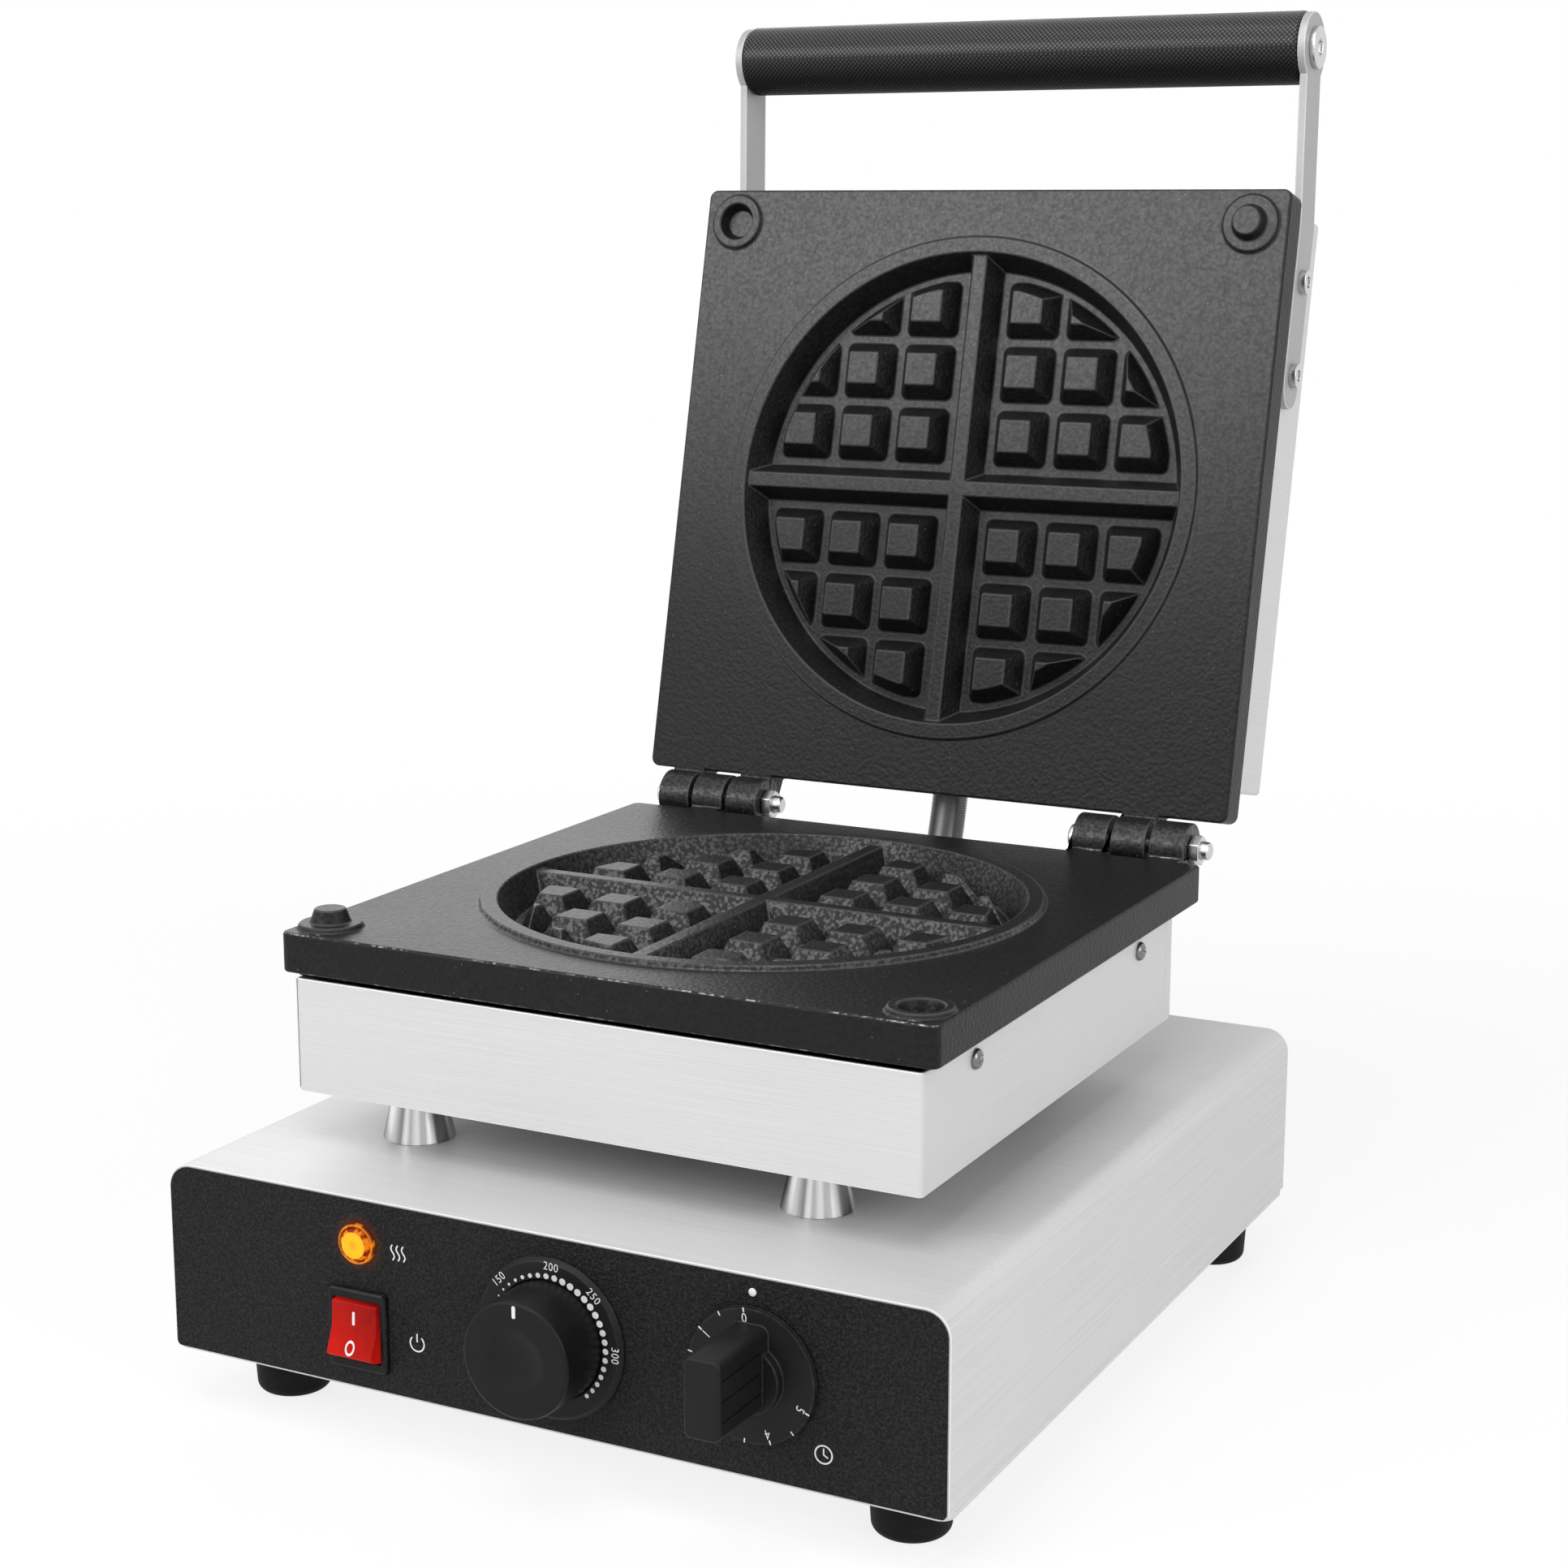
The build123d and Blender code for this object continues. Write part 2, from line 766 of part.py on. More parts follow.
# Lower casing, bolted to the cones through its floor and screwed to the plate's lugs
lug_places = [
    (side * lower_casing_width / 2, y, -rim_drop - lug_screw_drop)
    for side in (-1, 1)
    for y in (plate_front + lug_front, plate_rear - lug_rear)
]
lower_tray = casing_tray(lower_frame, lower_casing_width, lower_casing_depth)
with BuildPart() as lower_casing:
    add(lower_tray.part)
    with BuildSketch(Plane.XY.offset(casing_floor)):
        with Locations(*spacer_places):
            Circle(bolt_radius + hole_gap)
        with Locations((0, spacer_y)):
            Circle(wire_hole_radius)
    extrude(amount=2 * sheet, mode=Mode.SUBTRACT)
    with Locations(lower_frame):
        with Locations(*lug_places):
            Cylinder(
                screw_radius + hole_gap, 4 * sheet, rotation=(0, 90, 0), mode=Mode.SUBTRACT
            )
save(lower_casing, "lower_casing")
lug_seats = [
    Plane(lower_frame.from_local_coords(Vector(*place)), z_dir=(1 if place[0] > 0 else -1, 0, 0))
    for place in lug_places
]
save(
    pan_screws(lug_seats, screw_length, screw_radius, screw_head_radius, screw_head_height),
    "lower_casing_screws",
)

# Upper casing, screwed to the plate's posts from its back, with the arms on its sides
post_places = corners(
    upper_casing_width - 2 * post_inset,
    upper_casing_depth - 2 * post_inset,
    0,
    casing_front + upper_casing_depth / 2,
)
upper_floor = upper_frame.offset(-rim_drop - casing_height)
upper_half = upper_casing_width / 2
arm_screw_reaches = (arm_screw_first, arm_screw_first + arm_screw_pitch)
upper_rear_reach = -(casing_front + upper_casing_depth)
upper_tray = casing_tray(upper_frame, upper_casing_width, upper_casing_depth)
with BuildPart() as upper_casing:
    add(upper_tray.part)
    with BuildSketch(upper_floor):
        with Locations(*post_places):
            Circle(screw_radius + hole_gap)
    extrude(amount=2 * sheet, mode=Mode.SUBTRACT)
    for side in (-1, 1):
        with BuildSketch(lid_side(side * upper_half)):
            with Locations(*[(reach, -arm_drop) for reach in arm_screw_reaches]):
                Circle(bolt_radius + hole_gap)
        extrude(amount=2 * sheet, both=True, mode=Mode.SUBTRACT)
    with BuildSketch(Plane(lid_point(0, upper_rear_reach, -hose_drop), z_dir=lid_forward)):
        Circle(hose_hole)
    extrude(amount=2 * sheet, mode=Mode.SUBTRACT)
save(upper_casing, "upper_casing")
post_seats = [
    Plane(upper_floor.from_local_coords(Vector(x, y, 0)), z_dir=-upper_frame.z_dir)
    for x, y in post_places
]
save(
    pan_screws(post_seats, screw_length, screw_radius, screw_head_radius, screw_head_height),
    "upper_casing_screws",
)


def heating_set(frame, side, casing_depth):
    """The tube heater under a plate, its clamp disc and screws, and the insulation below."""
    under = frame.offset(-rim_drop)
    tube_plane = Plane(
        under.from_local_coords(Vector(0, plate_middle, -heater_tube)),
        x_dir=frame.x_dir,
        z_dir=-frame.y_dir,
    )
    heater_axis = Axis(tube_plane.origin, frame.z_dir)
    leg_points = [
        (heater_radius * cos(angle), plate_middle + heater_radius * sin(angle), -heater_tube)
        for angle in (0, radians(heater_sweep))
    ]
    with BuildPart() as heater:
        with BuildSketch(tube_plane):
            with Locations((heater_radius, 0)):
                Circle(heater_tube)
        revolve(axis=heater_axis, revolution_arc=heater_sweep)
        with Locations(under):
            with Locations(*leg_points):
                Cylinder(heater_leg_radius, heater_leg, align=high_align)
    save(heater, f"{side}_heater")
    clamp_top = under.offset(-2 * heater_tube)
    with BuildPart() as clamp:
        with Locations(clamp_top):
            with Locations((0, plate_middle)):
                Cylinder(clamp_radius, clamp_thickness, align=high_align)
                Cylinder(clamp_hole, clamp_thickness, align=high_align, mode=Mode.SUBTRACT)
            with Locations(*[(x, y) for x, y, z in leg_points]):
                Cylinder(
                    heater_leg_radius + hole_gap,
                    clamp_thickness,
                    align=high_align,
                    mode=Mode.SUBTRACT,
                )
            with Locations((0, plate_middle)):
                with PolarLocations(clamp_screw_radius, clamp_screws):
                    Cylinder(
                        screw_radius + hole_gap,
                        clamp_thickness,
                        align=high_align,
                        mode=Mode.SUBTRACT,
                    )
    save(clamp, f"{side}_clamp")
    clamp_seats = [
        Plane(
            clamp_top.from_local_coords(
                Vector(
                    clamp_screw_radius * cos(2 * pi * turn / clamp_screws),
                    plate_middle + clamp_screw_radius * sin(2 * pi * turn / clamp_screws),
                    -clamp_thickness,
                )
            ),
            z_dir=-frame.z_dir,
        )
        for turn in range(clamp_screws)
    ]
    clamp_screw_length = clamp_thickness + 2 * heater_tube + clamp_screw_depth
    save(
        pan_screws(
            clamp_seats, clamp_screw_length, screw_radius, screw_head_radius, screw_head_height
        ),
        f"{side}_clamp_screws",
    )
    with BuildPart() as insulation:
        with Locations(under.offset(sheet - casing_height)):
            with Locations((0, casing_front + casing_depth / 2)):
                Box(insulation_width, insulation_depth, insulation_thickness, align=low_align)
                Cylinder(
                    wire_hole_radius,
                    insulation_thickness,
                    align=low_align,
                    mode=Mode.SUBTRACT,
                )
    save(insulation, f"{side}_insulation")


heating_set(lower_frame, "lower", lower_casing_depth)
heating_set(upper_frame, "upper", upper_casing_depth)

# Hinge bolts through both sets of knuckles, head to the left and nut to the right
knuckle_span = 3 * knuckle_width + 2 * knuckle_gap
hinge_sides = (-knuckle_first - knuckle_span, knuckle_first)
hinge_grip = knuckle_span + 2 * hinge_washer_gap
with BuildPart() as hinge_bolts:
    for first in hinge_sides:
        head_plane = Plane((first - hinge_washer_gap, hinge_y, hinge_z), z_dir=(1, 0, 0))
        with Locations(head_plane):
            Cylinder(hinge_head_radius, hinge_head_height, align=high_align)
            Cylinder(hinge_pin_radius, hinge_grip + hinge_nut_height + hinge_tip, align=low_align)
    for bolt in hinge_bolts.solids():
        ends = bolt.edges().group_by(Axis.X)
        chamfer(ends[0] + ends[-1], hinge_chamfer)
save(hinge_bolts, "hinge_bolts")
nut_seats = [
    Plane((first + knuckle_span + hinge_washer_gap, hinge_y, hinge_z), z_dir=(1, 0, 0))
    for first in hinge_sides
]
save(hex_nuts(nut_seats, hinge_pin_radius, hinge_nut_radius, hinge_nut_height), "hinge_nuts")

# Arms: flat bars on the sides of the upper casing, set forward to the handle's eyes
bar_start = (arm_low, -arm_drop)
bar_bend = (arm_bend, -arm_drop)
eye = (handle_reach, -handle_drop)
for side, inner_x in {"left": -upper_half - arm_thickness, "right": upper_half}.items():
    with BuildPart() as arm:
        with BuildSketch(lid_side(inner_x)):
            for first, last in ((bar_start, bar_bend), (bar_bend, eye)):
                middle = ((first[0] + last[0]) / 2, (first[1] + last[1]) / 2)
                SlotCenterPoint(middle, last, arm_width)
            with Locations(eye):
                Circle(eye_radius)
                Circle(end_bolt_radius + hole_gap, mode=Mode.SUBTRACT)
            with Locations(*[(reach, -arm_drop) for reach in arm_screw_reaches]):
                Circle(bolt_radius + hole_gap, mode=Mode.SUBTRACT)
        extrude(amount=arm_thickness)
    save(arm, f"arm_{side}")

arm_outer = upper_half + arm_thickness
arm_seats = [
    Plane(lid_point(side * arm_outer, reach, -arm_drop), z_dir=(side, 0, 0))
    for side in (-1, 1)
    for reach in arm_screw_reaches
]
arm_screw_length = arm_thickness + sheet + nut_height
save(
    pan_screws(arm_seats, arm_screw_length, bolt_radius, bolt_head_radius, bolt_head_height),
    "arm_screws",
)
arm_nut_seats = [
    Plane(lid_point(side * (upper_half - sheet), reach, -arm_drop), z_dir=(-side, 0, 0))
    for side in (-1, 1)
    for reach in arm_screw_reaches
]
save(hex_nuts(arm_nut_seats, bolt_radius, nut_radius, nut_height), "arm_nuts")

# Handle: a steel rod between the arms, a grip over it and a bolt into each end
handle_middle = Plane(lid_point(0, handle_reach, -handle_drop), z_dir=(1, 0, 0))
rod_length = 2 * upper_half
with BuildPart(handle_middle) as handle_rod:
    Cylinder(rod_radius, rod_length)
    for side in (-1, 1):
        with Locations((0, 0, side * (rod_length - end_bolt_length) / 2)):
            Cylinder(end_bolt_radius + thread_gap, end_bolt_length, mode=Mode.SUBTRACT)
save(handle_rod, "handle_rod")
with BuildPart(handle_middle) as handle_grip:
    Cylinder(grip_radius, rod_length - 2 * grip_gap)
    fillet(handle_grip.edges().filter_by(GeomType.CIRCLE), grip_round)
    Cylinder(rod_radius + thread_gap, rod_length, mode=Mode.SUBTRACT)
save(handle_grip, "handle_grip")
end_seats = [
    Plane(lid_point(side * arm_outer, handle_reach, -handle_drop), z_dir=(side, 0, 0))
    for side in (-1, 1)
]
save(
    pan_screws(
        end_seats, end_bolt_length, end_bolt_radius, end_bolt_head_radius, end_bolt_head_height
    ),
    "handle_bolts",
)

# Flexible conduit: a ribbed steel hose with a gland and a nut at each end
lower_gland_plane = Plane((0, hose_y, base_top))
upper_gland_plane = Plane(
    lid_point(0, upper_rear_reach, -hose_drop), x_dir=(1, 0, 0), z_dir=-lid_forward
)
for side, plane in {"lower": lower_gland_plane, "upper": upper_gland_plane}.items():
    with BuildPart() as hose_gland:
        with BuildSketch(plane):
            RegularPolygon(hose_gland_radius, 6)
        extrude(amount=hose_gland_height)
        with BuildSketch(plane):
            Circle(hose_hole - hole_gap)
        extrude(amount=-sheet - hose_nut_height)
        with BuildSketch(plane):
            Circle(hose_bore)
        extrude(amount=hose_gland_height, mode=Mode.SUBTRACT)
        with BuildSketch(plane):
            Circle(hose_bore)
        extrude(amount=-sheet - hose_nut_height, mode=Mode.SUBTRACT)
    save(hose_gland, f"hose_gland_{side}")

lower_hose_seat = Plane((0, hose_y, cover_inside), z_dir=(0, 0, -1))
lower_hose_nut = hex_nuts(
    [lower_hose_seat], hose_hole - hole_gap, hose_nut_radius, hose_nut_height
)
upper_hose_seat = Plane(upper_gland_plane.origin + lid_forward * sheet, z_dir=lid_forward)
upper_hose_nut = hex_nuts(
    [upper_hose_seat], hose_hole - hole_gap, hose_nut_radius, hose_nut_height
)
save(upper_hose_nut, "hose_nut_upper")

hose_start = lower_gland_plane.origin + lower_gland_plane.z_dir * hose_gland_height
hose_end = upper_gland_plane.origin + upper_gland_plane.z_dir * hose_gland_height
hose_lower_turn = hose_start + lower_gland_plane.z_dir * hose_lead
hose_upper_turn = hose_end + upper_gland_plane.z_dir * hose_lead
with BuildLine() as hose_line:
    FilletPolyline(
        hose_start,
        hose_lower_turn,
        hose_upper_turn,
        hose_end,
        radius=hose_turn * (hose_upper_turn - hose_lower_turn).length,
    )
hose_path = hose_line.wire()
rib_circles = (hose_radius - hose_rib, hose_radius, hose_radius, hose_radius - hose_rib)
with BuildPart() as conduit_hose:
    for index in range(hose_ribs * len(rib_circles) + 1):
        along = index / (hose_ribs * len(rib_circles))
        with BuildSketch(Plane(hose_path @ along, x_dir=(1, 0, 0), z_dir=hose_path % along)):
            Circle(rib_circles[index % len(rib_circles)])
    loft(ruled=True)
    with BuildSketch(Plane(hose_start)):
        Circle(hose_bore)
    sweep(path=hose_path, mode=Mode.SUBTRACT)
save(conduit_hose, "conduit_hose")
print(f"conduit hose length {hose_path.length:.1f} mm")

# Thermostat: fixed dial ring, knob on its shaft, and the body behind the panel
dial_plane = front_plane(thermostat_x, control_z, overlay_front)
with BuildPart(dial_plane) as thermostat_dial:
    Cylinder(dial_radius, dial_thickness, align=low_align)
    chamfer(thermostat_dial.edges().sort_by(Axis.Y)[0], dial_bevel)
    Cylinder(dial_bore, dial_thickness, align=low_align, mode=Mode.SUBTRACT)
save(thermostat_dial, "thermostat_dial")

with BuildPart(dial_plane.offset(knob_lift)) as thermostat_knob:
    Cone(knob_radius, knob_face_radius, knob_reach - knob_lift, align=low_align)
    fillet(thermostat_knob.edges().sort_by(Axis.Y)[0], knob_round)
    with Locations((0, 0, knob_reach - knob_lift)):
        Cone(
            dimple_radius - dimple_depth,
            dimple_radius,
            dimple_depth,
            align=high_align,
            mode=Mode.SUBTRACT,
        )
    Cylinder(shaft_radius + thread_gap, shaft_inset, align=low_align, mode=Mode.SUBTRACT)
save(thermostat_knob, "thermostat_knob")


def control_shaft(plane, label):
    """A turning shaft from inside a knob, through the panel and into the body behind it."""
    behind = overlay_thickness + sheet + shaft_depth
    with BuildPart(plane.offset(-behind)) as shaft:
        Cylinder(shaft_radius, behind + knob_lift + shaft_inset, align=low_align)
    save(shaft, label)


def control_body(plane, width, height, depth, label):
    """The body of a control behind the panel, with the bore that its shaft turns in."""
    with BuildPart(plane.offset(-overlay_thickness - sheet)) as body:
        Box(width, height, depth, align=high_align)
        Cylinder(
            shaft_radius + shaft_fit,
            shaft_depth + shaft_end_gap,
            align=high_align,
            mode=Mode.SUBTRACT,
        )
    save(body, label)


control_shaft(dial_plane, "thermostat_shaft")
control_body(
    dial_plane,
    thermostat_body_width,
    thermostat_body_height,
    thermostat_body_depth,
    "thermostat_body",
)
with BuildPart(lower_frame.offset(-rim_drop - bulb_radius)) as thermostat_bulb:
    with Locations((0, plate_middle)):
        Cylinder(bulb_radius, bulb_length, rotation=(0, 90, 0))
save(thermostat_bulb, "thermostat_bulb")

# Timer: a disc with a wing grip on its shaft, and the body behind the panel
timer_plane = front_plane(timer_x, timer_z, overlay_front)
with BuildPart(timer_plane.offset(knob_lift)) as timer_knob:
    Cylinder(timer_disc_radius, timer_disc_thickness, align=low_align)
    chamfer(timer_knob.edges().sort_by(Axis.Y)[0], timer_disc_bevel)
    Cylinder(timer_hub_radius, timer_disc_thickness + timer_hub_height, align=low_align)
    with BuildSketch(timer_plane.offset(knob_lift)):
        with Locations((0, grip_bar_rise)):
            RectangleRounded(grip_bar_width, grip_bar_height, grip_bar_corner)
    extrude(amount=grip_bar_reach - knob_lift)
    bar_edges = timer_knob.faces().sort_by(Axis.Y)[0].edges()
    fillet(bar_edges, grip_bar_round)
    Cylinder(shaft_radius + thread_gap, shaft_inset, align=low_align, mode=Mode.SUBTRACT)
save(timer_knob, "timer_knob")
control_shaft(timer_plane, "timer_shaft")
control_body(timer_plane, timer_body_width, timer_body_height, timer_body_depth, "timer_body")

# Power switch: a bezel with its housing, and a rocker on two pivot pins, top pressed in
switch_plane = front_plane(rocker_x, rocker_z, overlay_front)
opening_width = rocker_width + 2 * rocker_gap
opening_height = 2 * (rocker_radius + rocker_gap)
housing_wall = (switch_width - opening_width) / 2
pivot_y = overlay_front - bezel_lift + pivot_behind
with BuildPart(switch_plane) as switch_body:
    Box(bezel_width, bezel_height, bezel_lift, align=low_align)
    fillet(switch_body.edges().filter_by(Axis.Y), bezel_round)
    chamfer(switch_body.faces().sort_by(Axis.Y)[0].edges(), bezel_chamfer)
    Box(switch_width, switch_height, switch_depth, align=high_align)
    with Locations((0, 0, bezel_lift)):
        Box(opening_width, opening_height, opening_depth, align=high_align, mode=Mode.SUBTRACT)
    with Locations((0, 0, bezel_lift - pivot_behind)):
        Cylinder(
            pivot_radius + pivot_fit,
            opening_width + 2 * housing_wall,
            rotation=(0, 90, 0),
            mode=Mode.SUBTRACT,
        )
save(switch_body, "switch_body")

tilt = radians(rocker_tilt)
rocker_plane = Plane(
    (rocker_x - rocker_width / 2, pivot_y, rocker_z),
    x_dir=(0, sin(tilt), cos(tilt)),
    z_dir=(1, 0, 0),
)
with BuildPart() as power_rocker:
    with BuildSketch(rocker_plane):
        Polygon(
            (-rocker_radius, rocker_rise),
            (0, rocker_valley),
            (rocker_radius, rocker_rise),
            (rocker_radius, -rocker_back),
            (-rocker_radius, -rocker_back),
            align=None,
        )
        Circle(rocker_radius, mode=Mode.INTERSECT)
    extrude(amount=rocker_width)
    with BuildSketch(rocker_plane.offset(-rocker_gap - housing_wall)):
        Circle(pivot_radius)
    extrude(amount=rocker_width + 2 * (rocker_gap + housing_wall))
save(power_rocker, "power_rocker")

# Pilot lamp: bezel with its barrel, lens and nut
lamp_plane = front_plane(lamp_x, lamp_z, overlay_front)
with BuildPart(lamp_plane) as lamp_body:
    Cylinder(lamp_radius, lamp_lift, align=low_align)
    chamfer(lamp_body.edges().sort_by(Axis.Y)[0], lens_seat / 2)
    Cylinder(lamp_barrel_radius, lamp_barrel_length, align=high_align)
    with Locations((0, 0, lamp_lift)):
        Cylinder(lens_radius + thread_gap, lens_seat, align=high_align, mode=Mode.SUBTRACT)
save(lamp_body, "lamp_body")
with BuildPart(lamp_plane.offset(lamp_lift - lens_seat)) as lamp_lens:
    Cylinder(lens_radius, lens_seat + lens_height, align=low_align)
    fillet(lamp_lens.edges().sort_by(Axis.Y)[0], lens_round)
save(lamp_lens, "lamp_lens")
lamp_nut_seat = Plane((lamp_x, front_y + sheet, lamp_z), z_dir=(0, 1, 0))
lamp_nut = hex_nuts([lamp_nut_seat], lamp_barrel_radius, lamp_nut_radius, lamp_nut_height)

# Terminal block on the tray
with BuildPart(Plane((0, terminal_y, tray_top))) as terminal_block:
    Box(terminal_width, terminal_depth, terminal_height, align=low_align)
    with GridLocations(terminal_width / terminal_ways, terminal_depth / 2, terminal_ways, 2):
        with Locations((0, 0, terminal_height)):
            Cylinder(
                terminal_hole_radius,
                terminal_height / 2,
                align=high_align,
                mode=Mode.SUBTRACT,
            )
save(terminal_block, "terminal_block")

# Mains cable gland in the rear panel
gland_plane = Plane((gland_x, base_depth / 2, gland_z), z_dir=(0, 1, 0))
with BuildPart(gland_plane) as cable_gland:
    with BuildSketch(gland_plane):
        RegularPolygon(gland_radius, 6)
    extrude(amount=gland_reach / 2)
    Cylinder(gland_thread + 2 * hole_gap, gland_reach, align=low_align)
    Cylinder(gland_thread, sheet + gland_tail, align=high_align)
    with Locations((0, 0, gland_reach)):
        Cylinder(
            gland_bore, gland_reach + sheet + gland_tail, align=high_align, mode=Mode.SUBTRACT
        )
save(cable_gland, "cable_gland")
gland_nut_seat = Plane((gland_x, base_depth / 2 - sheet, gland_z), z_dir=(0, -1, 0))
gland_nut = hex_nuts([gland_nut_seat], gland_thread, gland_nut_radius, gland_nut_height)
with BuildPart() as panel_nuts:
    add(lamp_nut.part)
    add(gland_nut.part)
    add(lower_hose_nut.part)
save(panel_nuts, "panel_nuts")
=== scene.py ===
"""Looks of a table-top waffle maker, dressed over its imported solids.

Metres. X runs to the right, Y to the back and Z up, as in the solids.
"""

import json
from math import cos, pi, radians, sin

import bmesh
import bpy
from mathutils import Matrix, Vector
from mathutils.bvhtree import BVHTree


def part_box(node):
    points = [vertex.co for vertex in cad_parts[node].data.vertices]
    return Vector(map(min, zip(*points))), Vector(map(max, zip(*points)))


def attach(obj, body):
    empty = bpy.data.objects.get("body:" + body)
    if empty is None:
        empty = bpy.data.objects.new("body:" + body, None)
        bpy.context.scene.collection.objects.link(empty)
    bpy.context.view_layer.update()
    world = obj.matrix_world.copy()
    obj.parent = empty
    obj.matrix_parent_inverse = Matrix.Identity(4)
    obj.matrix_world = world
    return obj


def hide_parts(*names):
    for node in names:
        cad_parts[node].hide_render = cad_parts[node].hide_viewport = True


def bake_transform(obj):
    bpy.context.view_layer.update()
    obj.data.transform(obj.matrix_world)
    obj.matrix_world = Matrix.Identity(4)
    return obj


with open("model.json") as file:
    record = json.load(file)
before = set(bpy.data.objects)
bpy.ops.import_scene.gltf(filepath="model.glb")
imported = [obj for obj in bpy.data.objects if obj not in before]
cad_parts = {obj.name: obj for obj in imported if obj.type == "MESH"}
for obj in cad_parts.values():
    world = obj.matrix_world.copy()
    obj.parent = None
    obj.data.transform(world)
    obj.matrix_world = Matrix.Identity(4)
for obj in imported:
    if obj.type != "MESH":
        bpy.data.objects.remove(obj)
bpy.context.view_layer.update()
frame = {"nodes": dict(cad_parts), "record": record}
nodes = frame["nodes"]
scene = bpy.context.scene

MM = 0.001
LID_LEAN = radians(13)

# Middles of what the front of the base carries: right and up, in millimetres
LAMP = (-76.6, 82.4)
SWITCH = (-77.0, 48.2)
THERMOSTAT = (8.0, 61.0)
TIMER = (91.0, 63.6)
INDEX_PIN = (90.8, 93.8)
WARMTH_SIGN = (-58.6, 81.4)
POWER_SIGN = (-51.0, 47.2)
TIME_SIGN = (118.5, 39.2)

# Depths of the panel, and of the marks on the pieces that stand out from it, in millimetres
PANEL_FACE = -185.6
DIAL_MARKS = -188.26
DISC_MARKS = -188.16
KNOB_MARKS = -210.16

# Axis of the grip: back and up, in millimetres
GRIP_AXIS = (249.96, 531.20)

# Where the looks of a plate change, in metres from its middle, its knuckle or its locating hole
RING_EDGE = (0.1175, 0.1215)
BORDER_EDGE = (0.1343, 0.1351)
BARREL_EDGE = (0.0119, 0.0128)
HOLE = (0.1275, -0.122)
# HOLE_EDGE bounds the painted shade in the locating hole of the lower plate.
HOLE_EDGE = (0.0080, 0.0086)

# Pressed patterns, in metres
KNURL_PITCH = 0.0044
KNURL_RADIUS = 0.016
FACET_PITCH = 0.0011


# Shader building
def grey(level):
    """A colour from a grey level of 0 to 255, in linear light."""
    return tone(level, level, level)


def tone(red, green, blue):
    """A colour from display levels of 0 to 255, in linear light."""
    return tuple(((level / 255 + 0.055) / 1.055) ** 2.4 for level in (red, green, blue)) + (1.0,)


class Value:
    """A socket of a finish. Arithmetic on it adds Math nodes to that finish."""

    def __init__(self, finish, socket):
        self.finish = finish
        self.socket = socket

    def math(self, operation, *others):
        inputs = dict(enumerate((self,) + others))
        return self.finish.node("ShaderNodeMath", {"operation": operation}, inputs)

    def __add__(self, other):
        return self.math("ADD", other)

    __radd__ = __add__

    def __mul__(self, other):
        return self.math("MULTIPLY", other)

    def __sub__(self, other):
        return self.math("SUBTRACT", other)

    def __rsub__(self, other):
        return self.finish.node("ShaderNodeMath", {"operation": "SUBTRACT"}, {0: other, 1: self})

    def __abs__(self):
        return self.math("ABSOLUTE")

    def between(self, low, high, start=0.0, end=1.0):
        """A smooth step from start, at low, to end, at high."""
        limits = {"Value": self, "From Min": low, "From Max": high, "To Min": start, "To Max": end}
        return self.finish.node("ShaderNodeMapRange", {"interpolation_type": "SMOOTHSTEP"}, limits)


def distance(first, second):
    """How far a point is from an axis, from its two measures across that axis."""
    return (first * first + second * second).math("SQRT")


class Finish:
    """One procedural material on Object coordinates."""

    def __init__(self, name):
        self.material = bpy.data.materials.new(name)
        self.material.use_nodes = True
        self.tree = self.material.node_tree
        self.tree.nodes.clear()

    def node(self, kind, settings=None, sockets=None, out=0):
        """Add a node: its settings first, then the values or links of its sockets."""
        made = self.tree.nodes.new(kind)
        for name, value in (settings or {}).items():
            setattr(made, name, value)
        for name, value in (sockets or {}).items():
            if isinstance(value, Value):
                self.tree.links.new(value.socket, made.inputs[name])
            else:
                made.inputs[name].default_value = value
        return Value(self, made.outputs[out]) if made.outputs else None

    def place(self, stretch=(1, 1, 1), turn=(0, 0, 0), shift=(0, 0, 0)):
        """Object coordinates, shifted, turned and stretched."""
        here = self.node("ShaderNodeTexCoord", out="Object")
        moves = {"Vector": here, "Location": shift, "Rotation": turn}
        turned = self.node("ShaderNodeMapping", {"vector_type": "POINT"}, moves)
        return self.node("ShaderNodeMapping", None, {"Vector": turned, "Scale": stretch})

    def noise(self, vector, scale, detail=2.0, rough=0.5, distort=0.0):
        sockets = {"Vector": vector, "Scale": scale, "Detail": detail}
        sockets.update({"Roughness": rough, "Distortion": distort})
        return self.node("ShaderNodeTexNoise", None, sockets, "Fac")

    def cells(self, vector, scale, feature="F1"):
        sockets = {"Vector": vector, "Scale": scale}
        return self.node("ShaderNodeTexVoronoi", {"feature": feature}, sockets, "Distance")

    def parts(self, vector):
        """The three values of a vector."""
        split = self.node("ShaderNodeSeparateXYZ", None, {0: vector}).socket.node
        return [Value(self, split.outputs[axis]) for axis in range(3)]

    def mix(self, factor, first, second):
        """A colour between two colours."""
        sockets = {0: factor, 6: first, 7: second}
        return self.node("ShaderNodeMix", {"data_type": "RGBA"}, sockets, 2)

    def attribute(self, name):
        """A value that a piece carries on its mesh."""
        return self.node("ShaderNodeAttribute", {"attribute_name": name}, None, "Fac")

    def bump(self, height, depth, strength):
        """A normal from a height, with the depth in metres."""
        sockets = {"Height": height, "Distance": depth, "Strength": strength}
        return self.node("ShaderNodeBump", None, sockets)

    def done(self, **sockets):
        """Close the material with a Principled surface. Names have _ for a space."""
        named = {key.replace("_", " "): value for key, value in sockets.items()}
        surface = self.node("ShaderNodeBsdfPrincipled", None, named)
        self.node("ShaderNodeOutputMaterial", None, {"Surface": surface})
        return self.material


# Finishes
lamp_middle = (-LAMP[0] * MM, 0, -LAMP[1] * MM)


